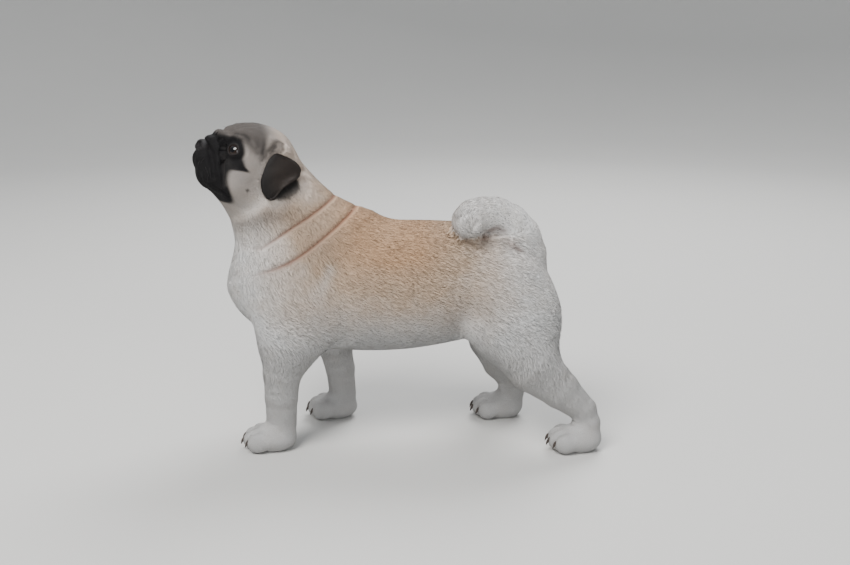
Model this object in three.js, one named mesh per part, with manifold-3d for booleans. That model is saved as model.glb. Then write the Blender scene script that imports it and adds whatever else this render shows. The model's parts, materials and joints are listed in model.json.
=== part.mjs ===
// A life-size standing pug with its head raised and its tail curled over its back.
// Millimetres. +X runs towards the tail, +Y to the dog's right side and +Z up, with the paws on Z = 0.
// The whole body is one smooth form, built from rounded masses that melt into each other.
// It is parted with thin cuts into torso, neck, head, tail and legs.
// The eyes, nose, ears and claws are pieces of their own.
import * as THREE from "three";
import { mergeVertices } from "three/addons/utils/BufferGeometryUtils.js";
import Module from "manifold-3d";

const wasm = await Module();
wasm.setup();

// Driving dimensions
const WITHERS_HEIGHT = 295;
const BODY_LENGTH = 410; // forechest to buttock
const CHEST_WIDTH = 150;
const HEAD_WIDTH = 108;
const HEAD_PITCH = 30; // degrees, nose up
const HEAD_YAW = 22; // degrees, towards the dog's left
const GAP = 0.3; // between touching solids
const SOLE = 0; // level of the floor

// The numbers below were set on a dog of these sizes, so each driving dimension acts as a factor on them.
const L = BODY_LENGTH / 410;
const W = CHEST_WIDTH / 150;
const H = WITHERS_HEIGHT / 295;
const K = HEAD_WIDTH / 108;

// Fields: each is a function of a point that is negative inside the form and grows with distance outside it
const { min, max, abs, hypot, cos, sin } = Math;
const clamp = THREE.MathUtils.clamp;
const radians = THREE.MathUtils.degToRad;

function melt(a, b, reach) {
  const share = max(reach - abs(a - b), 0) / reach;
  return min(a, b) - (share * share * reach) / 4;
}

function bump(distance, width) {
  return Math.exp(-((distance / width) ** 2));
}

function ease(from, to, value) {
  return THREE.MathUtils.smoothstep(value, from, to);
}

// An ellipsoid, tilted in the side view by some degrees: a positive tilt brings its top backwards.
function mass([cx, cy, cz], [rx, ry, rz], tilt = 0) {
  const c = cos(radians(tilt));
  const s = sin(radians(tilt));
  return (x, y, z) => {
    const dx = x - cx;
    const dz = z - cz;
    const u = (dx * c - dz * s) / rx;
    const v = (y - cy) / ry;
    const w = (dx * s + dz * c) / rz;
    const near = hypot(u, v, w);
    const steep = hypot(u / rx, v / ry, w / rz);
    return steep > 0 ? (near * (near - 1)) / steep : -min(rx, ry, rz);
  };
}

// A tapering round bar through points of [x, y, z, radius], made thinner across by the factor flat.
function bar(points, flat = 1) {
  return (x, y, z) => {
    let nearest = Infinity;
    for (let i = 1; i < points.length; i++) {
      const [ax, ay, az, ar] = points[i - 1];
      const [bx, by, bz, br] = points[i];
      const ux = bx - ax;
      const uy = by - ay;
      const uz = bz - az;
      const along = (x - ax) * ux + (y - ay) * uy + (z - az) * uz;
      const t = clamp(along / (ux * ux + uy * uy + uz * uz), 0, 1);
      const off = hypot(x - ax - t * ux, (y - ay - t * uy) / flat, z - az - t * uz);
      nearest = melt(nearest, off - ar - t * (br - ar), 8);
    }
    return nearest;
  };
}

// Rows of [x, a, b, ...] read between as a smooth curve for each column.
function curvesThrough(rows) {
  const slope = (i, c) => {
    const before = rows[max(i - 1, 0)];
    const after = rows[min(i + 1, rows.length - 1)];
    return (after[c] - before[c]) / (after[0] - before[0]);
  };
  return (x) => {
    const at = clamp(x, rows[0][0], rows.at(-1)[0]);
    let i = 1;
    while (i < rows.length - 1 && rows[i][0] < at) i++;
    const span = rows[i][0] - rows[i - 1][0];
    const t = (at - rows[i - 1][0]) / span;
    return rows[i].slice(1).map((value, k) => {
      const start = rows[i - 1][k + 1];
      const m0 = slope(i - 1, k + 1) * span;
      const m1 = slope(i, k + 1) * span;
      const rise = value - start;
      return start + t * (m0 + t * (3 * rise - 2 * m0 - m1 + t * (m0 + m1 - 2 * rise)));
    });
  };
}

// A barrel along x of oval sections, from rows of [x, top, bottom, half width], with rounded ends.
function barrel(rows, frontCap, rearCap) {
  const section = curvesThrough(rows);
  const first = rows[0][0];
  const last = rows.at(-1)[0];
  return (x, y, z) => {
    const [top, bottom, width] = section(x);
    const half = (top - bottom) / 2;
    const past = x < first ? (first - x) / frontCap : max(x - last, 0) / rearCap;
    return (hypot((z - bottom - half) / half, y / width, past) - 1) * min(half, width);
  };
}

// A frame at a place, yawed about Z and then pitched nose up: it takes fields and points in and out.
function frameAt([ox, oy, oz], pitch, yaw) {
  const [cp, sp] = [cos(radians(pitch)), sin(radians(pitch))];
  const [cy, sy] = [cos(radians(yaw)), sin(radians(yaw))];
  const matrix = new THREE.Matrix4()
    .makeTranslation(ox, oy, oz)
    .multiply(new THREE.Matrix4().makeRotationZ(radians(yaw)))
    .multiply(new THREE.Matrix4().makeRotationY(radians(pitch)));
  const within = (field) => (x, y, z) => {
    const dx = (x - ox) * cy + (y - oy) * sy;
    const dy = (y - oy) * cy - (x - ox) * sy;
    const dz = z - oz;
    return field(dx * cp - dz * sp, dy, dx * sp + dz * cp);
  };
  return { matrix, within };
}

// Body sizes and places
const body = (x, y, z) => [x * L, y * W, z * H];
const sized = (x, y, z, r) => [x * L, y * W, z * H, r * W];
const row = (x, top, bottom, width) => [x * L, top * H, bottom * H, width * W];

const trunk = barrel(
  [
    row(-150, 258, 140, 62),
    row(-110, 284, 122, 72),
    row(-60, 290, 116, 75),
    row(0, 288, 117, 75),
    row(50, 287, 124, 71),
    row(100, 283, 136, 67),
    row(136, 270, 148, 63),
  ],
  66 * L,
  49 * L,
);

// The neck is a barrel whose own x runs from the chest up to the skull
const NECK_RISE = 63; // degrees above the level
const neckFrame = frameAt(body(-128, 0, 251), NECK_RISE, 0);
const neckBarrel = neckFrame.within(
  barrel(
    [
      row(-120, 53, -50, 47),
      row(-88, 57, -57, 50),
      row(-44, 71, -71, 57),
      row(0, 97, -97, 66),
    ],
    40 * L,
    60 * L,
  ),
);

// Each leg: its upper masses, the bar down to the paw, the paw's place, and the cut below the torso
const LEGS = {
  front_left: {
    side: -1,
    upper: [mass(body(-124, -48, 192), body(53, 32, 74), 6), mass(body(-142, -50, 148), body(38, 26, 42))],
    bar: [
      sized(-138, -54, 140, 30),
      sized(-149, -55, 100, 25),
      sized(-151, -55, 70, 22),
      sized(-152, -54, 36, 20),
    ],
    paw: body(-163, -55, 15),
    cut: { at: body(-130, -50, 134), up: [0, 0.6, 1] },
    reach: [-226, -60],
  },
  front_right: {
    side: 1,
    upper: [mass(body(-112, 48, 195), body(50, 32, 70), 4), mass(body(-108, 54, 150), body(36, 24, 36))],
    bar: [
      sized(-104, 54, 140, 29),
      sized(-91, 55, 100, 24),
      sized(-85, 55, 70, 21),
      sized(-82, 54, 36, 19),
    ],
    paw: body(-92, 55, 15),
    cut: { at: body(-110, 50, 134), up: [0, -0.6, 1] },
    reach: [-170, -20],
  },
  hind_left: {
    side: -1,
    upper: [mass(body(150, -42, 180), body(52, 34, 78), -14), mass(body(126, -48, 150), body(38, 24, 34))],
    bar: [
      sized(138, -50, 148, 34),
      sized(168, -54, 110, 35),
      sized(202, -56, 80, 26),
      sized(232, -57, 54, 18),
      sized(238, -57, 36, 17),
      sized(236, -57, 18, 17),
    ],
    paw: body(226, -58, 15),
    cut: { at: body(150, -50, 168), up: [-0.22, 0.8, 1] },
    reach: [60, 290],
  },
  hind_right: {
    side: 1,
    upper: [mass(body(146, 42, 182), body(52, 34, 76), -4), mass(body(118, 48, 150), body(38, 24, 34))],
    bar: [
      sized(126, 50, 148, 34),
      sized(122, 54, 112, 32),
      sized(134, 56, 78, 25),
      sized(149, 57, 54, 19),
      sized(150, 57, 36, 18),
      sized(146, 57, 18, 18),
    ],
    paw: body(134, 58, 15),
    cut: { at: body(140, 50, 168), up: [-0.22, -0.8, 1] },
    reach: [60, 240],
  },
};

// Paws: four toes in front of a core, each with a claw
const PAW = body(30, 23, 19);
const TOES = [
  { x: -17, y: -19 },
  { x: -24, y: -7 },
  { x: -24, y: 7 },
  { x: -17, y: 19 },
];
const toeAt = ([x, y, z], toe) => [x + toe.x * L, y + toe.y * W, z - 1];

function pawField(paw) {
  const toes = TOES.map((toe) => mass(toeAt(paw, toe), body(14, 8, 13)));
  const core = mass(paw, PAW);
  return (x, y, z) => melt(core(x, y, z), min(...toes.map((toe) => toe(x, y, z))), 5);
}

function legField({ upper, bar: points, paw }) {
  const [mainMass, jointMass] = upper;
  const shaft = bar(points, 0.88);
  const foot = pawField(paw);
  return (x, y, z) => {
    const high = melt(mainMass(x, y, z), jointMass(x, y, z), 20);
    return melt(high, melt(shaft(x, y, z), foot(x, y, z), 10), 22);
  };
}
const legFields = Object.values(LEGS).map(legField);

// The tail's middle line and radius, from inside the croup up, over and down to the tip on its left
const TAIL = [
  sized(160, 0, 222, 24),
  sized(160, 0, 246, 24),
  sized(153, -2, 268, 23.5),
  sized(139, -5, 285, 23),
  sized(121, -10, 295, 22.5),
  sized(104, -17, 297, 22),
  sized(92, -28, 292, 20.5),
  sized(87, -40, 284, 17.5),
  sized(88, -51, 276, 12.5),
  sized(91, -58, 270, 6),
];
const TAIL_CUT = 278 * H; // level at which the tail leaves the torso
const tailRoot = bar(TAIL.slice(0, 4));

// Head, in its own frame: the muzzle points along -X, and the frame's origin is midway between the eyes
const head = (x, y, z) => [x * K, y * K, z * K];
const headFrame = frameAt(body(-207, -12, 380), HEAD_PITCH, HEAD_YAW);
const both = (make) => {
  const [left, right] = [make(-1), make(1)];
  return (x, y, z) => min(left(x, y, z), right(x, y, z));
};
const EYE = head(1, 33.5, -1);
const EYE_RADIUS = 12 * K;
const LID = 1.9 * K; // thickness of a lid over the ball
const GAZE = [-0.8, 0.6, 0.06]; // the way the right eye looks
const skull = mass(head(27, 0, 4), head(47, 49, 39));
const brow = both((side) => mass(head(1, side * 23, 13), head(15, 16, 10)));
const temples = both((side) => mass(head(30, side * 24, 18), head(37, 23, 21)));
const earRoot = bar([
  [...head(31, 42, 30), 5 * K],
  [...head(50, 42, 27), 6 * K],
  [...head(72, 36, 18), 5 * K],
]);
const cheeks = both((side) => mass(head(22, side * 26, -26), head(36, 28, 33)));
const orbit = mass([EYE[0] - 8 * K, EYE[1] + 7 * K, EYE[2]], head(14, 14, 12));
const lids = mass(EYE, [EYE_RADIUS + LID, EYE_RADIUS + LID, EYE_RADIUS + LID]);
const muzzle = mass(head(-12, 0, -27), head(23, 26, 22));
const lipPads = both((side) => mass(head(-18, side * 12, -27), head(18, 15, 15)));
const flews = both((side) => mass(head(-7, side * 22, -37), head(18, 13, 18), -14));
const chin = mass(head(-9, 0, -43), head(17, 16, 12));
const jaw = bar([
  [...head(-6, 0, -42), 16 * K],
  [...head(32, 0, -42), 26 * K],
]);
const noseFold = bar(
  [
    [-25, 0, -6, 7],
    [-23, 11, -6, 7],
    [-18, 21, -10, 6.5],
    [-12, 28, -21, 6],
    [-5, 33, -33, 5.5],
    [2, 36, -44, 5],
  ].map((v) => v.map((n) => n * K)),
);

// Creases of the head: lines on its right side, mirrored to the left, with a depth and a width
const CREASES = [
  { deep: 2.6, wide: 3, line: [[-20, 0, 10], [-11, 0, 24], [4, 0, 38]] },
  { deep: 2.2, wide: 3, line: [[-17, 8, 11], [-8, 9, 26], [6, 10, 38]] },
  { deep: 2, wide: 3, line: [[-15, 17, 13], [-6, 18, 26], [8, 20, 37]] },
  { deep: 2.4, wide: 3, line: [[-13, 21, 12], [-8, 31, 19], [3, 41, 20], [15, 48, 13]] },
  { deep: 2.6, wide: 3, line: [[-17, 0, 3], [-19, 10, 4], [-17, 20, 0], [-13, 29, -12], [4, 41, -42]] },
  { deep: 2.4, wide: 3, line: [[-33, 0, -6], [-31, 11, -9], [-26, 22, -16], [-19, 29, -27], [-11, 34, -39]] },
  { deep: 2.5, wide: 2.6, line: [[-42, 0, -20], [-41, 0, -30], [-37, 0, -40]] },
].map((crease) => ({ ...crease, near: bar(crease.line.map((v) => [...head(...v), 0])) }));

function headForm(x, y, z) {
  const side = abs(y);
  let form = melt(skull(x, y, z), cheeks(x, y, z), 20 * K);
  form = melt(form, jaw(x, y, z), 16 * K);
  form = melt(form, brow(x, y, z), 10 * K);
  form = melt(form, temples(x, y, z), 10 * K);
  form = melt(form, earRoot(x, side, z), 6 * K);
  let face = melt(muzzle(x, y, z), melt(lipPads(x, y, z), flews(x, y, z), 7 * K), 8 * K);
  face = melt(face, chin(x, y, z), 5 * K);
  form = melt(form, face, 9 * K);
  form = melt(form, noseFold(x, side, z), 4 * K);
  form = -melt(-form, orbit(x, side, z), 7 * K);
  form = melt(form, lids(x, side, z), 4 * K);
  for (const { near, deep, wide } of CREASES) form += deep * K * bump(near(x, side, z), wide * K);
  return form;
}
const headField = headFrame.within(headForm);

// Skin folds across the neck, as grooves along sheets that rise to the nape
const FOLDS = [
  { line: [[-190, 226], [-140, 246], [-110, 264], [-62, 301], [-50, 312]], deep: 6, wide: 9 },
  { line: [[-170, 262], [-129, 290], [-109, 302], [-82, 320], [-70, 330]], deep: 5, wide: 8 },
].map((fold) => ({ ...fold, height: curvesThrough(fold.line.map(([x, z]) => [x * L, z * H])) }));

function neckFolds(x, z) {
  let depth = 0;
  for (const { height, deep, wide } of FOLDS) {
    const off = (z - height(x)[0]) * 0.8;
    depth += deep * bump(off, wide) * ease(-205 * L, -120 * L, x);
    depth -= 0.6 * deep * bump(off - 1.6 * wide, wide) * ease(-170 * L, -80 * L, x);
  }
  return depth * ease(190 * H, 215 * H, z) * ease(20 * L, -40 * L, x);
}

function bodyForm(x, y, z) {
  let form = melt(trunk(x, y, z), neckBarrel(x, y, z), 30);
  for (const field of legFields) form = melt(form, field(x, y, z), 24);
  form = melt(form, tailRoot(x, y, z), 20);
  return form + neckFolds(x, z);
}

const wholeForm = (x, y, z) => melt(bodyForm(x, y, z), headField(x, y, z), 18);

// Surfaces: a field is sampled on a grid and its zero level is covered with four-sided patches
function spread(from, to, step) {
  const steps = max(1, Math.round((to - from) / step));
  return Array.from({ length: steps + 1 }, (_, i) => from + ((to - from) * i) / steps);
}

// Grid lines whose step changes along the way, from [position, step] marks.
function gridLines(marks) {
  const lines = [marks[0][0]];
  for (let i = 1; i < marks.length; i++) {
    const [from, step] = marks[i - 1];
    lines.push(...spread(from, marks[i][0], step).slice(1));
  }
  return lines;
}

function surfaceOf(field, [xs, ys, zs]) {
  const [nx, ny, nz] = [xs.length, ys.length, zs.length];
  const beyond = (lines, at) => max(lines[1] - at, at - lines.at(-2));
  const boxed = (x, y, z) => max(field(x, y, z), beyond(xs, x), beyond(ys, y), beyond(zs, z));
  const index = (i, j, k) => (i * ny + j) * nz + k;
  const value = new Float64Array(nx * ny * nz);
  for (let i = 0; i < nx; i++)
    for (let j = 0; j < ny; j++)
      for (let k = 0; k < nz; k++) {
        value[index(i, j, k)] = boxed(xs[i], ys[j], zs[k]) || 1e-9;
      }

  while (untangled(value, [index(1, 0, 0), index(0, 1, 0), index(0, 0, 1)]));

  const corners = [0, 1, 2, 3, 4, 5, 6, 7].map((c) => [c & 1, (c >> 1) & 1, c >> 2]);
  const edges = corners.flatMap((_, a) => [1, 2, 4].filter((bit) => !(a & bit)).map((bit) => [a, a + bit]));

  const vertex = new Map();
  const points = [];
  for (let i = 0; i < nx - 1; i++)
    for (let j = 0; j < ny - 1; j++)
      for (let k = 0; k < nz - 1; k++) {
        const values = corners.map(([a, b, c]) => value[index(i + a, j + b, k + c)]);
        const crossings = edges.filter(([a, b]) => values[a] < 0 !== values[b] < 0);
        if (!crossings.length) continue;
        const centre = [0, 0, 0];
        for (const [a, b] of crossings) {
          const t = values[a] / (values[a] - values[b]);
          const [from, to] = [corners[a], corners[b]];
          const lines = [xs, ys, zs];
          const cell = [i, j, k];
          for (let d = 0; d < 3; d++) {
            const low = lines[d][cell[d] + from[d]];
            const high = lines[d][cell[d] + to[d]];
            centre[d] += (low + t * (high - low)) / crossings.length;
          }
        }
        vertex.set(index(i, j, k), points.length);
        points.push(settled(boxed, centre, [xs[i], ys[j], zs[k]], [xs[i + 1], ys[j + 1], zs[k + 1]]));
      }

  const faces = [];
  const steps = [index(1, 0, 0), index(0, 1, 0), index(0, 0, 1)];
  for (let i = 1; i < nx - 1; i++)
    for (let j = 1; j < ny - 1; j++)
      for (let k = 1; k < nz - 1; k++)
        for (let d = 0; d < 3; d++) {
          const here = index(i, j, k);
          const inside = value[here] < 0;
          if (inside === value[here + steps[d]] < 0) continue;
          const u = steps[(d + 1) % 3];
          const v = steps[(d + 2) % 3];
          const ring = [here, here - u, here - u - v, here - v].map((cell) => vertex.get(cell));
          faces.push(...halves(points, inside ? ring : ring.reverse()));
        }
  return new THREE.BufferGeometry()
    .setAttribute("position", new THREE.Float32BufferAttribute(points.flat(), 3))
    .setIndex(faces);
}

// Where the signs alternate round a square of the grid the surface would touch itself, so the value
// nearest to zero changes side. It tells whether any did.
function untangled(value, steps) {
  let changed = false;
  for (let a = 0; a < value.length; a++)
    for (let d = 0; d < 3; d++) {
      const [b, c] = [a + steps[d], a + steps[(d + 1) % 3]];
      const opposite = b + steps[(d + 1) % 3];
      if (opposite >= value.length) continue;
      const square = [a, b, opposite, c];
      const signs = square.map((at) => value[at] < 0);
      if (signs[0] !== signs[2] || signs[1] !== signs[3] || signs[0] === signs[1]) continue;
      const weakest = square.reduce((best, at) => (abs(value[at]) < abs(value[best]) ? at : best));
      value[weakest] = value[weakest] < 0 ? 1e-6 : -1e-6;
      changed = true;
    }
  return changed;
}

// Moves a point onto the zero level, staying well inside its cell so that no two points meet.
function settled(field, start, low, high) {
  const point = [...start];
  const h = 0.05;
  for (let round = 0; round < 4; round++) {
    const [x, y, z] = point;
    const f = field(x, y, z);
    const slope = [field(x + h, y, z) - f, field(x, y + h, z) - f, field(x, y, z + h) - f].map((d) => d / h);
    const steep = max(slope[0] ** 2 + slope[1] ** 2 + slope[2] ** 2, 0.1);
    for (let d = 0; d < 3; d++) {
      const margin = (high[d] - low[d]) * 0.1;
      point[d] = clamp(point[d] - (f * slope[d]) / steep, low[d] + margin, high[d] - margin);
    }
  }
  return point;
}

// Splits a four-sided patch along its shorter diagonal.
function halves(points, [a, b, c, d]) {
  const apart = (p, q) => hypot(...points[p].map((value, i) => value - points[q][i]));
  return apart(a, c) < apart(b, d) ? [a, b, c, a, c, d] : [a, b, d, b, c, d];
}

// Solids: closed surfaces that can be cut and joined
function solidOf(geometry, matrix = new THREE.Matrix4()) {
  const bare = new THREE.BufferGeometry().setAttribute("position", geometry.getAttribute("position").clone());
  if (geometry.index) bare.setIndex(geometry.index.clone());
  bare.applyMatrix4(matrix);
  const merged = mergeVertices(bare, 1e-4);
  const vertProperties = merged.attributes.position.array;
  const triVerts = new Uint32Array(merged.index.array);
  const solid = new wasm.Manifold(new wasm.Mesh({ numProp: 3, vertProperties, triVerts }));
  if (solid.volume() > 0) return solid;
  return new wasm.Manifold(new wasm.Mesh({ numProp: 3, vertProperties, triVerts: triVerts.reverse() }));
}

function largest(solid) {
  return solid.decompose().sort((a, b) => b.volume() - a.volume())[0];
}

// A solid's surface with its corners on a fine lattice, which closes up the slivers that cuts leave.
const LATTICE = 0.02;
function geometryOf(solid) {
  const { vertProperties, triVerts } = solid.getMesh();
  const corners = Array.from(vertProperties, (value) => Math.round(value / LATTICE) * LATTICE);
  const place = (vertex) => corners.slice(3 * vertex, 3 * vertex + 3).join();
  const faces = [];
  for (let i = 0; i < triVerts.length; i += 3) {
    const face = triVerts.slice(i, i + 3);
    if (new Set(Array.from(face, place)).size === 3) faces.push(...face);
  }
  return new THREE.BufferGeometry()
    .setAttribute("position", new THREE.Float32BufferAttribute(corners, 3))
    .setIndex(faces)
    .toNonIndexed();
}

// A big block whose top face lies on a plane, sunk by some distance below it.
const FAR = 1200;
function blockBelow({ at, up }, sunk = 0) {
  const normal = new THREE.Vector3(...up).normalize();
  const turn = new THREE.Quaternion().setFromUnitVectors(new THREE.Vector3(0, 0, 1), normal);
  const middle = new THREE.Vector3(...at).addScaledVector(normal, -FAR / 2 - sunk);
  const place = new THREE.Matrix4().compose(middle, turn, new THREE.Vector3(1, 1, 1));
  return solidOf(new THREE.BoxGeometry(FAR, FAR, FAR), place);
}

// A closed tube through points of [x, y, z, radius], made thicker by the last number.
function cord(points, around, steps, grow = 0) {
  const curve = new THREE.CatmullRomCurve3(points.map(([x, y, z]) => new THREE.Vector3(x, y, z)));
  const radius = curvesThrough(points.map(([, , , r], i) => [i / (points.length - 1), r]));
  const { normals, binormals } = curve.computeFrenetFrames(steps, false);
  const flat = [];
  const faces = [];
  for (let i = 0; i <= steps; i++) {
    const centre = curve.getPoint(i / steps);
    const r = radius(i / steps)[0] + grow;
    for (let j = 0; j < around; j++) {
      const turn = (2 * Math.PI * j) / around;
      const out = normals[i].clone().multiplyScalar(r * cos(turn));
      out.addScaledVector(binormals[i], r * sin(turn));
      flat.push(...centre.clone().add(out));
    }
    if (i === steps) break;
    for (let j = 0; j < around; j++) {
      const [a, b] = [i * around + j, i * around + ((j + 1) % around)];
      faces.push(a, b, b + around, a, b + around, a + around);
    }
  }
  for (const [end, first] of [[0, 0], [steps, steps * around]]) {
    const tip = curve.getPoint(end / steps);
    const away = curve.getTangent(end / steps).multiplyScalar(end ? 1 : -1);
    const pole = flat.length / 3;
    flat.push(...tip.addScaledVector(away, (radius(end / steps)[0] + grow) * 0.6));
    for (let j = 0; j < around; j++) {
      const [a, b] = [first + j, first + ((j + 1) % around)];
      faces.push(...(end ? [a, b, pole] : [b, a, pole]));
    }
  }
  return new THREE.BufferGeometry()
    .setAttribute("position", new THREE.Float32BufferAttribute(flat, 3))
    .setIndex(faces);
}

// A closed sheet: point(s, t) is its middle, and it has the given thickness.
function sheet(point, across, along, thickness, grow = 0) {
  const at = (s, t) => new THREE.Vector3(...point(s, t));
  const flat = [];
  const faces = [];
  const wide = along + 1;
  const layer = (across + 1) * wide;
  for (const side of [1, -1])
    for (let i = 0; i <= across; i++)
      for (let j = 0; j <= along; j++) {
        const [s, t] = [i / across, j / along];
        const du = at(min(s + 0.02, 1), t).sub(at(max(s - 0.02, 0), t));
        const dv = at(s, min(t + 0.02, 1)).sub(at(s, max(t - 0.02, 0)));
        const normal = du.clone().cross(dv).normalize();
        const edge = min(1, 6 * min(s, 1 - s, 1 - t) + 0.45);
        const spot = at(s, t).addScaledVector(normal, side * ((thickness / 2) * edge + grow));
        spot.addScaledVector(du.normalize(), grow * (2 * s - 1));
        spot.addScaledVector(dv.normalize(), grow * (2 * t - 1));
        flat.push(...spot);
      }
  for (let i = 0; i < across; i++)
    for (let j = 0; j < along; j++) {
      const a = i * wide + j;
      faces.push(a, a + wide, a + wide + 1, a, a + wide + 1, a + 1);
      const b = a + layer;
      faces.push(b, b + wide + 1, b + wide, b, b + 1, b + wide + 1);
    }
  const rim = (a, b) => faces.push(a, b, b + layer, a, b + layer, a + layer);
  for (let i = 0; i < across; i++) {
    rim((i + 1) * wide, i * wide);
    rim(i * wide + along, (i + 1) * wide + along);
  }
  for (let j = 0; j < along; j++) {
    rim(j, j + 1);
    rim(across * wide + j + 1, across * wide + j);
  }
  return new THREE.BufferGeometry()
    .setAttribute("position", new THREE.Float32BufferAttribute(flat, 3))
    .setIndex(faces);
}

// Trunk, neck and legs
const HEAD_CUT = { at: body(-172, 0, 348), up: [0.68, 0.06, -0.73] };
const NECK_CUT = { at: body(-126, 0, 262), up: [0.5, 0, -0.86] };

const trunkSurface = solidOf(
  surfaceOf(wholeForm, [
    gridLines([[-250, 18], [-40, 24], [110, 18], [240, 18]]),
    spread(-102, 102, 17),
    gridLines([[100, 18], [230, 15], [425, 15]]),
  ]),
);
const parts = new Map();

const MIDLINE = 3; // half of the strip between the two legs of a pair
function legSpace({ side, cut, reach }, sunk) {
  return [
    blockBelow(cut, sunk),
    blockBelow({ at: [0, side * MIDLINE, 0], up: [0, -side, 0] }, sunk),
    blockBelow({ at: [reach[0] * L, 0, 0], up: [-1, 0, 0] }, sunk),
    blockBelow({ at: [reach[1] * L, 0, 0], up: [1, 0, 0] }, sunk),
  ].reduce((space, block) => space.intersect(block));
}
const aboveFloor = blockBelow({ at: [0, 0, SOLE], up: [0, 0, -1] });

// Claws: short curved horns, each grown from the front of a toe
const clawPoints = ([x, y, z]) => [
  [x - 7 * L, y, z + 4, 2.4],
  [x - 12 * L, y, z + 2.5, 2.6],
  [x - 16 * L, y, z - 2, 2],
  [x - 18 * L, y, z - 7, 0.7],
];

for (const [name, leg] of Object.entries(LEGS)) {
  const [x0, x1] = leg.reach.map((x) => x * L);
  const box = [
    spread(x0 + 3, x1 - 3, 9),
    spread(leg.side > 0 ? 0 : -96, leg.side > 0 ? 96 : 0, 8),
    gridLines([[SOLE - 6, 6], [36, 15], [216, 15]]),
  ];
  let solid = solidOf(surfaceOf(wholeForm, box)).intersect(legSpace(leg, GAP / 2)).intersect(aboveFloor);
  TOES.forEach((toe, i) => {
    const points = clawPoints(toeAt(leg.paw, toe));
    parts.set(`claw_${name}_${i + 1}`, solidOf(cord(points, 6, 3)));
    solid = solid.subtract(solidOf(cord(points, 6, 3, GAP)));
  });
  parts.set(`leg_${name}`, largest(solid));
}

// Tail
const tailSolid = solidOf(cord(TAIL, 14, 28));
const tailSpace = blockBelow({ at: [0, 0, TAIL_CUT], up: [0, 0, -1] }, -GAP / 2).intersect(
  blockBelow({ at: [120 * L, 0, 0], up: [-1, 0, 0] }),
);
const stubSpace = (sunk) =>
  blockBelow({ at: [0, 0, TAIL_CUT], up: [0, 0, 1] }, sunk).intersect(
    blockBelow({ at: [126 * L, 0, 0], up: [-1, 0, 0] }, sunk),
  );
parts.set("tail", largest(tailSolid.subtract(stubSpace(-GAP / 2))));

let torso = trunkSurface.subtract(blockBelow(NECK_CUT, -GAP / 2)).subtract(tailSpace);
torso = torso.subtract(solidOf(cord(TAIL, 14, 28, GAP)).subtract(stubSpace(GAP / 2)));
for (const leg of Object.values(LEGS)) torso = torso.subtract(legSpace(leg, -GAP / 2));
parts.set("torso", largest(torso));
let neck = trunkSurface.intersect(blockBelow(NECK_CUT, GAP / 2)).subtract(blockBelow(HEAD_CUT, -GAP / 2));

// Head: its pieces are made in the head's own frame and then placed
const placed = (solid) => solid.transform(headFrame.matrix.elements);
const headSurface = surfaceOf(
  (x, y, z) => {
    const spot = new THREE.Vector3(x, y, z).applyMatrix4(headFrame.matrix);
    return melt(headForm(x, y, z), bodyForm(spot.x, spot.y, spot.z), 18);
  },
  [
    gridLines([[-54 * K, 4.4], [12, 9], [100 * K, 9]]),
    spread(-64 * K, 64 * K, 5.3),
    gridLines([[-98 * K, 7], [-60 * K, 4.4], [20 * K, 7], [56 * K, 8]]),
  ],
);
let headSolid = placed(solidOf(headSurface)).intersect(blockBelow(HEAD_CUT, GAP / 2));

// The flap of an ear: rows of its front and rear edges, from its root under the skin down to the tip.
const EAR_ROWS = curvesThrough([
  [0, 36, 41, 18, 70, 35, 14],
  [0.15, 35, 48, 16, 76, 44, 17],
  [0.35, 33, 53, 5, 78, 52, 6],
  [0.55, 33, 56, -6, 71, 58, -5],
  [0.75, 36, 57, -20, 65, 60, -16],
  [0.9, 44, 58, -30, 62, 59, -27],
  [1, 51, 58, -34, 57, 59, -33],
]);
const EAR_THICKNESS = 3.2 * K;

function earPoint(side) {
  return (s, t) => {
    const [fx, fy, fz, rx, ry, rz] = EAR_ROWS(t);
    const curl = max(0, (s - 0.7) / 0.3) ** 2 * bump(t - 0.62, 0.25);
    const arch = sin(Math.PI * s);
    const x = fx + s * (rx - fx) - 6 * curl;
    const y = fy + s * (ry - fy) + 3 * arch * (1 - t) + 5 * curl;
    return head(x, side * y, fz + s * (rz - fz) + 4 * arch * bump(t - 0.15, 0.2));
  };
}

const NOSE = head(-32, 0, -15);
const noseForm = (() => {
  const pad = mass(NOSE, head(9, 12, 9));
  const wings = both((side) => mass([NOSE[0] + 1.5 * K, side * 9 * K, NOSE[2] - 1 * K], head(8, 7, 7)));
  return (x, y, z) => melt(pad(x, y, z), wings(x, y, z), 3 * K);
})();
const noseCore = solidOf(
  surfaceOf(noseForm, [
    spread(-46 * K, -18 * K, 3.4),
    spread(-20 * K, 20 * K, 3.4),
    spread(-29 * K, -1 * K, 3.4),
  ]),
);
const grown = (solid, centre, factor) =>
  solid
    .translate(centre.map((v) => -v))
    .scale(factor)
    .translate(centre);


// A nostril is a round hole and the slit that runs from it round the wing
const NOSTRIL = [[-46, 4.5, -15, 2.6], [-40, 5.5, -14.5, 2.6], [-34, 7, -14, 1.6]];
const SLIT = [[-42, 6, -15, 1.8], [-40, 11, -15.5, 1.5], [-34, 16.5, -17.5, 0.8]];
let nose = noseCore;
for (const side of [-1, 1])
  for (const line of [NOSTRIL, SLIT]) {
    const points = line.map(([x, y, z, r]) => [x * K, side * y * K, z * K, r * K]);
    nose = nose.subtract(solidOf(cord(points, 7, 6)));
  }
parts.set("nose", placed(largest(nose)));
headSolid = headSolid.subtract(placed(grown(noseCore, NOSE, 1.045)));

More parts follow.
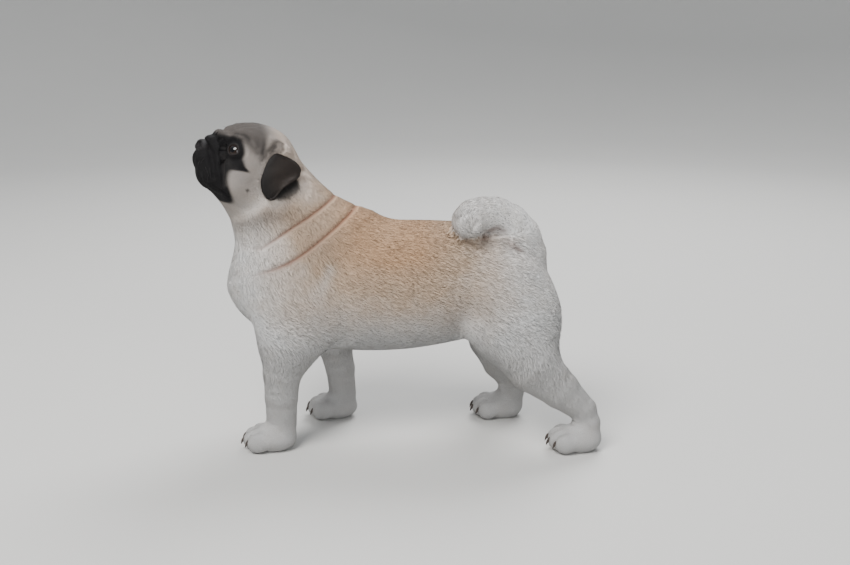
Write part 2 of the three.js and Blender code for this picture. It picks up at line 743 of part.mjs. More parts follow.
// The line of the mouth, from under the nose to a corner, and how it is laid on the surface
const MOUTH = [[-38, 0, -40], [-36, 8, -44], [-31, 16, -48], [-21, 24, -52], [-9, 31, -52], [2, 37, -46]];
const MOUTH_RADIUS = 1.5 * K;
function onSurface([x, y, z]) {
  const spot = [x, y, z];
  const h = 0.1;
  for (let round = 0; round < 12; round++) {
    const f = headForm(...spot);
    const slope = [0, 1, 2].map((d) => (headForm(...spot.map((v, i) => v + (i === d ? h : 0))) - f) / h);
    const steep = max(slope[0] ** 2 + slope[1] ** 2 + slope[2] ** 2, 0.2);
    for (let d = 0; d < 3; d++) spot[d] -= (0.7 * f * slope[d]) / steep;
  }
  return spot;
}
for (const side of [-1, 1]) {
  const name = side < 0 ? "left" : "right";
  const eye = [EYE[0], side * EYE[1], EYE[2]];
  const gaze = new THREE.Vector3(GAZE[0], side * GAZE[1], GAZE[2]).normalize();
  const turn = new THREE.Quaternion().setFromUnitVectors(new THREE.Vector3(0, 1, 0), gaze);
  const ball = new THREE.SphereGeometry(EYE_RADIUS, 14, 9);
  const spot = new THREE.Matrix4().compose(new THREE.Vector3(...eye), turn, new THREE.Vector3(1, 1, 1));
  parts.set(`eye_${name}`, placed(solidOf(ball, spot)));
  const socket = new THREE.SphereGeometry(EYE_RADIUS + GAP * 1.2, 14, 9);
  headSolid = headSolid.subtract(placed(solidOf(socket, spot)));
  const opening = new THREE.CylinderGeometry(14.5 * K, 0.5, 18 * K, 24);
  const oval = new THREE.Matrix4()
    .compose(new THREE.Vector3(...eye), turn, new THREE.Vector3(1, 1, 1))
    .multiply(new THREE.Matrix4().makeScale(1, 1, 0.8))
    .multiply(new THREE.Matrix4().makeTranslation(0, 9 * K, 0));
  headSolid = headSolid.subtract(placed(solidOf(opening, oval)));
  const ear = earPoint(side);
  parts.set(`ear_${name}`, placed(solidOf(sheet(ear, 7, 10, EAR_THICKNESS))));
  const earSpace = placed(solidOf(sheet(ear, 7, 10, EAR_THICKNESS, GAP)));
  headSolid = headSolid.subtract(earSpace);
  neck = neck.subtract(earSpace);
  const lip = MOUTH.map(([x, y, z], i) => {
    const radius = i < MOUTH.length - 1 ? MOUTH_RADIUS : MOUTH_RADIUS / 3;
    return [...onSurface(head(x, side * y, z)), radius];
  });
  headSolid = headSolid.subtract(placed(solidOf(cord(lip, 6, 16))));
}
parts.set("neck", largest(neck));
parts.set("head", largest(headSolid));

const COLOURS = {
  head: 0xb9a78f,
  ear: 0x1c1815,
  nose: 0x100e0e,
  eye: 0x120c09,
  neck: 0xbfa98c,
  torso: 0xcdbca3,
  tail: 0xdccfbb,
  leg: 0xd9cdbb,
  claw: 0x2a2420,
};
const ROUGHNESS = { eye: 0.08, nose: 0.4, claw: 0.5 };

const dog = new THREE.Group();
for (const [name, solid] of parts) {
  const kind = name.split("_")[0];
  const finish = { color: COLOURS[kind], roughness: ROUGHNESS[kind] ?? 0.9, metalness: 0 };
  const mesh = new THREE.Mesh(geometryOf(solid), new THREE.MeshStandardMaterial(finish));
  mesh.name = name;
  dog.add(mesh);
}

// The model's origin is on the floor, under the middle of the whole
const middle = new THREE.Box3().setFromObject(dog).getCenter(new THREE.Vector3());
dog.position.set(-middle.x, -middle.y, 0);
const model = new THREE.Group();
model.add(dog);
export default model;
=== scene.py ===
"""Dresses the solids of a standing pug: skin, short coat, eyes, lids, nose, ears, claws and whiskers."""

import json
import math

import bpy
import numpy as np
from bpy.props import FloatProperty, FloatVectorProperty, IntProperty, PointerProperty
from bpy.types import Operator, Panel, PropertyGroup
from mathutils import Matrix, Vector

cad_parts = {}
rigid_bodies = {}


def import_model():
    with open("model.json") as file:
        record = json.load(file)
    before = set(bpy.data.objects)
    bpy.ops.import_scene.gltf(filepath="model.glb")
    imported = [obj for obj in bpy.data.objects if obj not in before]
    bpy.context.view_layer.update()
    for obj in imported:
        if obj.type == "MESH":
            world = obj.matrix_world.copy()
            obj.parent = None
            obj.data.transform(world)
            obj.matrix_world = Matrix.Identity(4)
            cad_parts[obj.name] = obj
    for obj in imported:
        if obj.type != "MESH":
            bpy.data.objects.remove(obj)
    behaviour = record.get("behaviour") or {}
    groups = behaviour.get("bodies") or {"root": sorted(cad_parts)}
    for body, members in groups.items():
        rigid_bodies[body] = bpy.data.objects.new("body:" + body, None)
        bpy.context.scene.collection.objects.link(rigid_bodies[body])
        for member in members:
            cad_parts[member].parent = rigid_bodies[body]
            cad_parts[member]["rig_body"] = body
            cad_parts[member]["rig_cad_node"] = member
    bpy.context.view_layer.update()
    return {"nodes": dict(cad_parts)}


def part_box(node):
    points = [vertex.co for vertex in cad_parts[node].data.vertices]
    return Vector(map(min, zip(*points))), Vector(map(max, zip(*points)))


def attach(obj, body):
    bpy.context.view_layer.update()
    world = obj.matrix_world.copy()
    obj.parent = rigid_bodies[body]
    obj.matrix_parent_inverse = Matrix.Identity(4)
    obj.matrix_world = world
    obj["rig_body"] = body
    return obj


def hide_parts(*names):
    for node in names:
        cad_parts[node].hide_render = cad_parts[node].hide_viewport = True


bl_info = {
    "name": "Standing Pug",
    "version": (1, 0, 0),
    "blender": (4, 5, 0),
    "location": "View3D > Sidebar > Pug",
    "description": "Skin, short coat, eyes, lids, nose, ears and claws of a life-size pug",
    "category": "Object",
}

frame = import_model()
MM = 0.001
SIDES = {"left": -1, "right": 1}
LEG_NODES = [f"leg_{end}_{side}" for end in ("front", "hind") for side in SIDES]
FLESH = ["torso", "neck", "head", "tail", *LEG_NODES]


# Fields of the form, in millimetres: negative inside and growing with distance outside
def melt(a, b, reach):
    share = np.maximum(reach - np.abs(a - b), 0) / reach
    return np.minimum(a, b) - share * share * reach / 4


def carve(form, hollow, reach):
    return -melt(-form, hollow, reach)


def bump(distance, width):
    return np.exp(-((distance / width) ** 2))


def ease(low, high, value):
    t = np.clip((value - low) / (high - low), 0, 1)
    return t * t * (3 - 2 * t)


def mass(p, centre, radii, tilt=0):
    """An ellipsoid whose top leans backwards by tilt degrees."""
    c, s = math.cos(math.radians(tilt)), math.sin(math.radians(tilt))
    dx, dy, dz = (p - np.asarray(centre, float)).T
    radii = np.asarray(radii, float)[:, None]
    local = np.stack([dx * c - dz * s, dy, dx * s + dz * c]) / radii
    near = np.sqrt((local**2).sum(0))
    steep = np.sqrt(((local / radii) ** 2).sum(0))
    return near * (near - 1) / np.maximum(steep, 1e-6)


def bar(p, points, flat=1, blend=8):
    """A tapering round bar through points of (x, y, z, radius), made thinner across by the factor flat."""
    nearest = None
    for a, b in zip(points[:-1], points[1:]):
        start = np.asarray(a[:3], float)
        way = np.asarray(b[:3], float) - start
        t = np.clip((p - start) @ way / (way @ way), 0, 1)
        off = p - start - t[:, None] * way
        off[:, 1] /= flat
        here = np.sqrt((off**2).sum(1)) - a[3] - t * (b[3] - a[3])
        nearest = here if nearest is None else melt(nearest, here, blend)
    return nearest


def line(p, points):
    """The distance from a line through points of (x, y, z)."""
    return bar(p, [(*point, 0) for point in points], blend=0.01)


def curves_through(rows, at):
    """Rows of (x, a, b, ...) read between as smooth curves, one array for each column."""
    rows = np.asarray(rows, float)
    xs = rows[:, 0]
    last = len(rows) - 1
    before, after = rows[np.r_[0, :last]], rows[np.r_[1 : last + 1, last]]
    slopes = (after - before)[:, 1:] / (after - before)[:, :1]
    at = np.clip(at, xs[0], xs[-1])
    i = np.clip(np.searchsorted(xs, at), 1, last)
    span = (xs[i] - xs[i - 1])[:, None]
    t = (at - xs[i - 1])[:, None] / span
    start, rise = rows[i - 1, 1:], rows[i, 1:] - rows[i - 1, 1:]
    m0, m1 = slopes[i - 1] * span, slopes[i] * span
    return (start + t * (m0 + t * (3 * rise - 2 * m0 - m1 + t * (m0 + m1 - 2 * rise)))).T


def barrel(p, rows, front, rear):
    """A barrel along x of oval sections (x, top, bottom, half width), with rounded ends."""
    x, y, z = p.T
    top, bottom, width = curves_through(rows, x)
    half = (top - bottom) / 2
    first, last = rows[0][0], rows[-1][0]
    past = np.where(x < first, (first - x) / front, np.maximum(x - last, 0) / rear)
    share = np.sqrt(((z - bottom - half) / half) ** 2 + (y / width) ** 2 + past**2)
    return (share - 1) * np.minimum(half, width)


class Place:
    """A frame of its own: yawed about Z, then pitched nose up."""

    def __init__(self, origin, pitch, yaw):
        cp, sp = math.cos(math.radians(pitch)), math.sin(math.radians(pitch))
        cy, sy = math.cos(math.radians(yaw)), math.sin(math.radians(yaw))
        self.origin = np.array(origin, float)
        self.turn = np.array([[cy * cp, -sy, cy * sp], [sy * cp, cy, sy * sp], [-sp, 0, cp]])

    def inside(self, p):
        return (np.asarray(p, float) - self.origin) @ self.turn

    def outside(self, local):
        return np.asarray(local, float) @ self.turn.T + self.origin

    def turned(self, directions):
        return np.asarray(directions, float) @ self.turn.T


# Sizes and places of the masses, in millimetres, close to the solids' own
HEAD = Place((-207, -12, 380), 30, 22)
NECK = Place((-128, 0, 251), 63, 0)
EYE = np.array([1, 33.5, -1.0])
EYE_RADIUS = 12
GAZE = np.array([-0.8, 0.6, 0.06])
TRUNK_ROWS = [
    (-150, 258, 140, 62),
    (-110, 284, 122, 72),
    (-60, 290, 116, 75),
    (0, 288, 117, 75),
    (50, 287, 124, 71),
    (100, 283, 136, 67),
    (136, 270, 148, 63),
]
NECK_ROWS = [(-120, 53, -50, 47), (-88, 57, -57, 50), (-44, 71, -71, 57), (0, 97, -97, 66)]
LEGS = {
    "front_left": {
        "upper": [((-124, -48, 192), (53, 32, 74), 6), ((-142, -50, 148), (38, 26, 42), 0)],
        "bar": [(-138, -54, 140, 30), (-149, -55, 100, 25), (-151, -55, 70, 22), (-152, -54, 36, 20)],
        "paw": (-163, -55, 15),
    },
    "front_right": {
        "upper": [((-112, 48, 195), (50, 32, 70), 4), ((-108, 54, 150), (36, 24, 36), 0)],
        "bar": [(-104, 54, 140, 29), (-91, 55, 100, 24), (-85, 55, 70, 21), (-82, 54, 36, 19)],
        "paw": (-92, 55, 15),
    },
    "hind_left": {
        "upper": [((150, -42, 180), (52, 34, 78), -14), ((126, -48, 150), (38, 24, 34), 0)],
        "bar": [(138, -50, 148, 34), (168, -54, 110, 35), (202, -56, 80, 26)]
        + [(232, -57, 54, 18), (238, -57, 36, 17), (236, -57, 18, 17)],
        "paw": (226, -58, 15),
    },
    "hind_right": {
        "upper": [((146, 42, 182), (52, 34, 76), -4), ((118, 48, 150), (38, 24, 34), 0)],
        "bar": [(126, 50, 148, 34), (122, 54, 112, 32), (134, 56, 78, 25)]
        + [(149, 57, 54, 19), (150, 57, 36, 18), (146, 57, 18, 18)],
        "paw": (134, 58, 15),
    },
}
TOES = [(-17, -19), (-24, -7), (-24, 7), (-17, 19)]
TAIL = [
    (160, 0, 222, 24),
    (160, 0, 246, 24),
    (153, -2, 268, 23.5),
    (139, -5, 285, 23),
    (121, -10, 295, 22.5),
    (104, -17, 297, 22),
    (91, -27, 297, 21),
    (84, -38, 294, 19),
    (85, -47, 290, 15),
    (93, -53, 286, 9),
]
NOSE_FOLD = [
    (-28, 0, -5.5, 7.8),
    (-24, 11, -5.5, 7.3),
    (-18, 21, -10, 6.5),
    (-12, 28, -21, 6),
    (-5, 33, -33, 5.5),
    (2, 36, -44, 5),
]
BROW_FOLD = [(-22, 0, 5, 6), (-19, 9, 7, 6), (-14, 19, 9, 5)]

# Folds of the neck, as rising lines of (x, height) in the side view with a depth and a width
NECK_FOLDS = [
    ([(-190, 226), (-140, 246), (-110, 264), (-62, 301), (-50, 312)], 0.9, 3.4),
    ([(-170, 262), (-129, 290), (-109, 302), (-82, 320), (-70, 330)], 0.8, 3.2),
]
# Dark wrinkles over the temple and beside the brow
STREAKS = [
    [(13, 46, 29), (15, 49, 18), (18, 51, 10)],
    [(20, 46, 29), (22, 49, 20), (24, 51, 12)],
    [(29, 50, 20), (28, 52, 12), (27, 53, 4)],
    [(-10, 28, 17), (-2, 36, 21), (4, 42, 20)],
]
# Creases of the head's right side, mirrored to the left: a line, a depth and a width
CREASES = [
    ([(-20, 0, 10), (-11, 0, 24), (4, 0, 38)], 2.4, 3.9),
    ([(-17, 8, 11), (-8, 9, 26), (6, 10, 38)], 2.0, 3.6),
    ([(-15, 17, 13), (-6, 18, 26), (8, 20, 37)], 1.8, 3.6),
    ([(-13, 21, 12), (-8, 31, 19), (3, 41, 20), (15, 48, 13)], 1.6, 3.9),
    ([(-17, 0, 3), (-19, 10, 4), (-17, 20, 0), (-13, 29, -12), (-8, 37, -26), (2, 42, -42)], 3.2, 3.6),
    ([(-33, 0, -6), (-31, 11, -9), (-26, 22, -16), (-19, 29, -27), (-11, 34, -39)], 2.4, 3.6),
    ([(-42, 0, -20), (-41, 0, -30), (-37, 0, -40)], 2.5, 2.4),
    ([(13, 46, 27), (15, 49, 18), (18, 51, 10)], 1.1, 3),
    ([(20, 46, 29), (22, 49, 20), (24, 51, 12)], 1.1, 3),
    ([(29, 50, 20), (28, 52, 12), (27, 53, 4)], 1.0, 3),
    ([(-6, 24, 24), (4, 32, 28), (16, 38, 28)], 1.2, 3.9),
    ([(2, 22, 32), (12, 28, 34), (24, 32, 33)], 1.0, 3.9),
    ([(30, 40, -66), (44, 44, -58), (58, 47, -46)], 2.0, 5.25),
    ([(36, 26, -74), (50, 32, -70), (64, 38, -60)], 2.0, 6),
]
MOUTH = [(-38, 0, -40), (-36, 8, -44), (-31, 16, -48), (-21, 24, -52), (-9, 31, -53), (4, 36, -51)]
MOUTH += [(16, 39, -54)]
# The loop of skin in front of an ear's root, and the ridge round the hollow behind its flap
EAR_LOOP = [(31, 49, 14, 1.6), (28, 47, 24, 1.8), (32, 44, 33, 1.8), (39, 45, 33, 1.6), (42, 48, 27, 1.4)]
EAR_HOLLOW = [(72, 54, 0, 4), (73, 56, -8, 5.5), (68, 57, -17, 4.5), (62, 59, -24, 3)]
EAR_RIDGE = [(79, 43, 6, 2.2), (82, 45, -4, 2.6), (78, 49, -14, 2.8), (70, 53, -23, 2.6), (63, 54, -28, 2)]


def paw_form(p, paw):
    core = mass(p, paw, (30, 23, 19))
    toes = np.min([mass(p, (paw[0] + dx, paw[1] + dy, paw[2] - 1), (14, 8, 13)) for dx, dy in TOES], axis=0)
    return melt(core, toes, 4)


def leg_form(p, leg):
    high = melt(*[mass(p, *m) for m in leg["upper"]], 20)
    low = bar(p, leg["bar"], 0.88, blend=2.5)
    return melt(high, melt(low, paw_form(p, leg["paw"]), 10), 22)


def neck_folds(p):
    """How far the folds of the neck sink at each point, with a swell above each of them."""
    x, _, z = p.T
    depth = 0
    for rows, deep, wide in NECK_FOLDS:
        off = (z - curves_through(rows, x)[0]) * 0.8
        depth = depth + deep * bump(off, wide) * ease(-205, -120, x)
        depth = depth - 0.25 * deep * bump(off - 3.2 * wide, 3.2 * wide) * ease(-170, -80, x)
    return depth * ease(190, 215, z) * (1 - ease(-40, 20, x))


def body_form(p):
    form = melt(barrel(p, TRUNK_ROWS, 66, 49), barrel(NECK.inside(p), NECK_ROWS, 40, 60), 30)
    for leg in LEGS.values():
        form = melt(form, leg_form(p, leg), 24)
    form = melt(form, bar(p, TAIL[:4]), 20)
    return melt(form + neck_folds(p), bar(p, TAIL), 2)


def mirrored(h):
    return np.stack([h[:, 0], np.abs(h[:, 1]), h[:, 2]], 1)


def eye_axes():
    """The way the right eye looks, with the axes across its opening, level and upright."""
    look = GAZE / np.linalg.norm(GAZE)
    across = np.cross((0, 0, 1), look)
    across /= np.linalg.norm(across)
    return look, across, np.cross(look, across)


EYE_OPENING = (math.radians(43), math.radians(34))  # half angles, across and upright


def eye_opening(m):
    """The cone between the lids, outside a bowl sunk under the eyeball."""
    look, across, upright = eye_axes()
    off = m - EYE
    wide, high = (math.tan(angle) for angle in EYE_OPENING)
    cone = (np.hypot(off @ across / wide, off @ upright / high) - off @ look) * 0.72
    return np.maximum(cone, EYE_RADIUS - 2.5 - np.sqrt((off**2).sum(1)))


def head_form(h):
    m = mirrored(h)
    form = melt(mass(h, (27, 0, 4), (47, 49, 39)), mass(m, (22, 26, -26), (36, 28, 33)), 20)
    form = melt(form, bar(h, [(-6, 0, -42, 16), (32, 0, -42, 26)]), 16)
    form = melt(form, mass(m, (1, 23, 13), (15, 16, 10)), 10)
    form = melt(form, mass(m, (30, 24, 18), (37, 23, 21)), 10)
    form = melt(form, bar(m, [(31, 42, 30, 5), (50, 42, 27, 6), (72, 36, 18, 5)]), 6)
    lips = melt(mass(m, (-18, 12, -27), (18, 15, 15)), mass(m, (-7, 22, -37), (18, 13, 18), -14), 7)
    face = melt(mass(h, (-12, 0, -27), (23, 26, 22)), lips, 8)
    face = melt(face, mass(h, (-9, 0, -43), (17, 16, 12)), 5)
    face = melt(face, mass(h, (-22.5, 0, -16), (15.5, 18, 15.5)), 6)
    form = melt(form, face, 9)
    form = melt(form, bar(m, NOSE_FOLD), 4)
    form = carve(form, mass(m, EYE + (-8, 7, 0), (14, 14, 12)), 7)
    form = melt(form, mass(m, EYE, (EYE_RADIUS + 1.9,) * 3), 4)
    form = melt(form, bar(m, BROW_FOLD), 5)
    form = melt(form, bar(m, EAR_LOOP, blend=1), 3)
    form = melt(form, bar(m, EAR_RIDGE, blend=3), 4)
    form = carve(form, bar(m, EAR_HOLLOW), 4)
    form = carve(form, mass(m, (34, 52, 24), (3.5, 4, 6)), 4)
    for points, deep, wide in CREASES:
        form = form + deep * bump(line(m, points), wide)
    form = form + 3.6 * bump(line(m, MOUTH), 2.1)
    return carve(form, eye_opening(m), 1.2)


def whole_form(p):
    return melt(body_form(p), head_form(HEAD.inside(p)), 16)


# Markings: four masks in 0..1 that skin and coat share: black; warm, with the shoulder's painted light and
# shade; grey brown of the forehead together with painted shade; and red of the neck folds together with the
# painted shadow under the tail
# Rear edge of the black mask, as (height, x), and its upper edge, as (distance from the middle, height)
MASK_REAR = [(-76, -30), (-68, 4), (-62, 20), (-56, 22), (-48, 13), (-40, 5), (-30, 0), (-23, 1)]
MASK_REAR += [(-19, 10), (-15.5, 19), (-12, 13), (-6, 8), (2, 6), (10, 1), (16, -4)]
MASK_TOP = [(0, 9), (14, 10), (24, 12), (32, 15), (44, 15), (60, 12)]
MOLES = [((27, 53, -36), 2.4), ((20, 51, -45), 1.6), ((33, 52, -29), 1.4)]
# Painted light and shade of the left side: the shoulder's painted shade band and painted light band, the
# painted shadow under the tail, and the painted shade of the throat and the neck
SHOULDER_SHADE = [(-101, -66, 236), (-108, -66, 210), (-118, -66, 190)]
SHOULDER_LIGHT = [(-84, -70, 240), (-98, -70, 214), (-108, -70, 186)]
TAIL_SHADOW_LINE = [(104, -33, 271), (112, -31, 279), (121, -32, 282), (129, -30, 277)]
TAIL_SHADOW_LINE += [(138, -38, 265), (146, -46, 260)]
THROAT_SHADE = [(-215, -20, 300), (-195, -44, 297), (-172, -54, 300), (-144, -57, 318)]
NECK_SIDE_SHADE = [(-138, -58, 322), (-120, -58, 300), (-104, -66, 272)]


def head_masks(h):
    m = mirrored(h)
    behind = m[:, 0] - curves_through(MASK_REAR, m[:, 2])[0]
    above = m[:, 2] - curves_through(MASK_TOP, m[:, 1])[0]
    black = 1 - ease(-3.2, 2.6, np.maximum(behind * 0.8, above))
    ridge = bump(line(m, [(-15, 24, -3), (-11, 36, -17), (-5, 42, -30), (2, 43, -42)]), 3)
    below_eye = bump(line(m, [(-8, 40, -14), (-3, 44, -20), (4, 48, -20)]), 4)
    black = black * (1 - 0.06 * np.maximum(ridge, 0.6 * below_eye))
    for centre, radius in MOLES:
        off = np.linalg.norm(m - centre, axis=1)
        black = np.maximum(black, 0.75 * (1 - ease(radius * 0.4, radius * 1.5, off)))
    # Grey brown of the forehead and crown, and painted shade over the cheeks, fading out towards the rear of
    # the head
    rear = m[:, 0] + 0.35 * np.maximum(m[:, 2] - 10, 0)
    height = m[:, 2] + 0.2 * m[:, 0] + 12 * (1 - ease(-16, 4, m[:, 0]))
    grey_and_shade = 0.50 + 0.12 * ease(-45, -20, m[:, 2]) + 0.36 * ease(2, 18, height)
    grey_and_shade = grey_and_shade * (1 - ease(22, 54, rear))
    for points in STREAKS:
        streak = bump(line(m, points), 2.3)
        grey_and_shade = np.maximum(grey_and_shade, 0.95 * streak)
        black = np.maximum(black, 0.6 * streak)
    # Painted shade inside the loop of skin before the ear's root, deepest in the hole the loop closes round
    grey_and_shade = np.maximum(grey_and_shade, 0.8 * bump(mass(m, (34, 49, 25), (5, 6, 8)), 7))
    grey_and_shade = np.maximum(grey_and_shade, 1 - ease(-1, 3, mass(m, (34, 50, 24), (3, 6, 6))))
    # Painted shade: black in the hollow behind the ear's flap
    black = np.maximum(black, 0.98 * (1 - ease(1, 4, bar(m, EAR_HOLLOW))))
    black = np.maximum(black, 0.97 * (1 - ease(0.5, 3.5, bar(m, EAR_RIDGE, blend=3))))
    warm = 0.22 + 0.12 * (1 - ease(0, 20, mass(m, (60, 20, 20), (30, 40, 30))))
    return black, warm, grey_and_shade, np.zeros(len(h))


def body_masks(p):
    x, y, z = p.T
    out = np.abs(y)
    to_left = np.stack([x, -out, z], 1)
    warm = 0.30 + 0.26 * bump(x + 2, 88) * ease(150, 235, z)
    warm = warm + 0.58 * bump(x + 4, 60) * ease(212, 264, z) + 0.20 * bump(x + 62, 24) * ease(200, 262, z)
    warm = warm - 0.30 * (1 - ease(130, 200, z)) - 0.26 * (1 - ease(-200, -120, x)) * (1 - ease(250, 320, z))
    warm = warm - 0.24 * ease(90, 170, x)
    # Painted shade and painted light in two bands along the edge of the shoulder blade
    warm = warm + 0.25 * bump(line(p, SHOULDER_SHADE), 9) - 0.22 * bump(line(p, SHOULDER_LIGHT), 9)
    tail = 1 - ease(-2, 3, bar(p, TAIL[2:]))
    warm = warm * (1 - 0.85 * tail)
    red = np.zeros(len(p))
    for rows, _, wide in NECK_FOLDS:
        off = (z - curves_through(rows, x)[0]) * 0.8
        along = ease(-200, -130, x) * (1 - ease(-60, -30, x))
        red = np.maximum(red, bump(off, 0.8 * wide) * along * ease(200, 240, z))
    # Painted shadow in the crevice where the tail's curl lies on the croup: red brown here, and darker again
    # further down
    under_tail = line(p, TAIL_SHADOW_LINE)
    red = np.maximum(red, 0.6 * bump(under_tail, 5))
    # Painted shade under the belly, on the side of the neck (warmer there too), in front of the left thigh
    # and on the throat under the jaw
    belly = ease(-90, -60, x) * (1 - ease(90, 120, x)) * (1 - ease(20, 60, out)) * (1 - ease(118, 128, z))
    neck = bump(line(to_left, NECK_SIDE_SHADE), 27)
    thigh_shade = bump(mass(p, (86, -64, 172), (20, 20, 20)), 22)
    warm = warm + 0.18 * neck
    grey_and_shade = 0.25 * belly + 0.24 * neck + 0.12 * thigh_shade + 0.55 * bump(line(to_left, THROAT_SHADE), 18)
    # The lower legs and paws are darker, partly their own duller tone and partly painted shade; the painted
    # shadow under the tail is darkened here too
    grey_and_shade = grey_and_shade + 0.40 * (1 - ease(110, 205, z)) + 0.34 * bump(under_tail, 4.5)
    return np.zeros(len(p)), np.clip(warm, 0, 1), grey_and_shade, red


def markings(p):
    """The four masks at points of the body, blended over where head and neck meet."""
    h = HEAD.inside(p)
    rear = h[:, 0] - 0.6 * np.maximum(h[:, 2] + 45, 0)
    share = (1 - ease(9, 20, head_form(h))) * (1 - ease(48, 80, rear))
    head, body = head_masks(h), body_masks(p)
    return np.stack([share * a + (1 - share) * b for a, b in zip(head, body)], 1)


# Meshes as arrays
def read_points(mesh, field="vertices", name="co"):
    values = np.empty(len(getattr(mesh, field)) * 3, np.float32)
    getattr(mesh, field).foreach_get(name, values)
    return values.reshape(-1, 3).astype(float)


def write_points(mesh, points):
    mesh.vertices.foreach_set("co", points.astype(np.float32).ravel())
    mesh.update()


def to_form(points):
    """From a mesh's metres to the form's millimetres."""
    return points / MM - ORIGIN


def to_mesh(points):
    return (points + ORIGIN) * MM


def origin_of_form():
    """Where the form's own origin lies on the floor, in millimetres, found at the left eye's centre."""
    low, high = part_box("eye_left")
    centre = np.array((low + high) / 2) / MM
    return (centre - HEAD.outside(EYE * (1, -1, 1))) * (1, 1, 0)


ORIGIN = origin_of_form()


def new_piece(name, vertices, faces):
    """A mesh object from arrays of corners in metres and of faces that all have as many corners."""
    mesh = bpy.data.meshes.new(name)
    faces = np.asarray(faces)
    sides = faces.shape[1]
    mesh.vertices.add(len(vertices))
    mesh.loops.add(faces.size)
    mesh.polygons.add(len(faces))
    mesh.vertices.foreach_set("co", np.asarray(vertices, np.float32).ravel())
    mesh.loops.foreach_set("vertex_index", faces.astype(np.int32).ravel())
    mesh.polygons.foreach_set("loop_start", np.arange(0, faces.size, sides, dtype=np.int32))
    mesh.polygons.foreach_set("use_smooth", np.ones(len(faces), bool))
    mesh.update(calc_edges=True)
    piece = bpy.data.objects.new(name, mesh)
    bpy.context.scene.collection.objects.link(piece)
    return piece


def choose(*pieces):
    bpy.ops.object.select_all(action="DESELECT")
    for piece in pieces:
        piece.select_set(True)
    bpy.context.view_layer.objects.active = pieces[-1]


def apply_modifier(piece, kind, **settings):
    choose(piece)
    modifier = piece.modifiers.new(kind.title(), kind)
    for key, value in settings.items():
        setattr(modifier, key, value)
    bpy.ops.object.modifier_apply(modifier=modifier.name)


def copy_of(nodes, name, more=()):
    """One mesh of several CAD nodes and other pieces, with their loose triangles merged."""
    copies = list(more)
    for node in nodes:
        copy = frame["nodes"][node].copy()
        copy.data = copy.data.copy()
        copy.parent = None
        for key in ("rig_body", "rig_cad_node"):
            del copy[key]
        bpy.context.scene.collection.objects.link(copy)
        copies.append(copy)
    choose(*copies)
    bpy.ops.object.join()
    piece = bpy.context.object
    piece.name = piece.data.name = name
    bpy.ops.object.mode_set(mode="EDIT")
    bpy.ops.mesh.select_all(action="SELECT")
    bpy.ops.mesh.remove_doubles(threshold=0.00002)
    bpy.ops.object.mode_set(mode="OBJECT")
    return piece


def keep_largest(piece):
    """Deletes all but the largest connected surface, found by spreading the lowest index along the edges."""
    mesh = piece.data
    edges = np.empty(len(mesh.edges) * 2, np.int32)
    mesh.edges.foreach_get("vertices", edges)
    a, b = edges.reshape(-1, 2).T
    group = np.arange(len(mesh.vertices))
    while True:
        low = np.minimum(group[a], group[b])
        before = group.copy()
        np.minimum.at(group, a, low)
        np.minimum.at(group, b, low)
        group = group[group]
        if (group == before).all():
            break
    largest = np.bincount(group).argmax()
    select_vertices(piece, group != largest)
    bpy.ops.object.mode_set(mode="EDIT")
    bpy.ops.mesh.delete(type="VERT")
    bpy.ops.object.mode_set(mode="OBJECT")


def select_vertices(piece, chosen):
    """Selects vertices, and the edges and faces whose corners are all among them."""
    choose(piece)
    mesh = piece.data
    mesh.vertices.foreach_set("select", np.asarray(chosen, bool))
    ends = np.empty(len(mesh.edges) * 2, np.int32)
    mesh.edges.foreach_get("vertices", ends)
    mesh.edges.foreach_set("select", chosen[ends.reshape(-1, 2)].all(1))
    starts = np.empty(len(mesh.polygons), np.int32)
    mesh.polygons.foreach_get("loop_start", starts)
    corners = np.empty(len(mesh.loops), np.int32)
    mesh.loops.foreach_get("vertex_index", corners)
    mesh.polygons.foreach_set("select", np.logical_and.reduceat(chosen[corners], starts))


def settle(piece, form, rounds, where=None, stride=3.0):
    """Moves each vertex along the form's slope until the form's value there is zero."""
    mesh = piece.data
    probe = 0.2
    gentlest = 0.4
    for _ in range(rounds):
        every = to_form(read_points(mesh))
        mine = np.ones(len(every), bool) if where is None else where(every)
        points = every[mine]
        here = form(points)
        slope = np.stack([form(points + offset) - here for offset in probe * np.eye(3)], 1) / probe
        steep = np.maximum(np.linalg.norm(slope, axis=1), gentlest)
        step = np.clip(-here / steep, -stride, stride)
        every[mine] = points + slope * (step / steep)[:, None]
        write_points(mesh, to_mesh(every))


def relax(piece, times):
    apply_modifier(piece, "SMOOTH", iterations=times, factor=0.5)


def add_values(mesh, name, values):
    """Stores one value or one colour of four numbers at each vertex."""
    kind = "FLOAT" if values.ndim == 1 else "FLOAT_COLOR"
    layer = mesh.attributes.new(name, kind, "POINT")
    layer.data.foreach_set("value" if values.ndim == 1 else "color", values.astype(np.float32).ravel())


def coat_depth(p):
    """How deep the skin lies under the solids, in millimetres."""
    h = HEAD.inside(p)
    face = 1 - ease(20, 90, h[:, 0])
    feet = 1 - ease(20, 60, p[:, 2])
    return 1.5 - 1.0 * np.maximum(face * (1 - ease(0, 30, head_form(h))), feet)


def skin_form(p):
    return whole_form(p) + coat_depth(p)


def loft(sections):
    """Corners and triangles of a skin over rings of equal count, with a pole at each end."""
    rings = np.asarray(sections, float)
    count, around, _ = rings.shape
    corners = [*rings.reshape(-1, 3), rings[0].mean(0), rings[-1].mean(0)]
    faces = []
    for i in range(count - 1):
        for j in range(around):
            a, b = i * around + j, i * around + (j + 1) % around
            faces += [(a, b, b + around), (a, b + around, a + around)]
    for j in range(around):
        k = (j + 1) % around
        faces += [(count * around, k, j)]
        faces += [(count * around + 1, (count - 1) * around + j, (count - 1) * around + k)]
    return np.array(corners), np.array(faces)


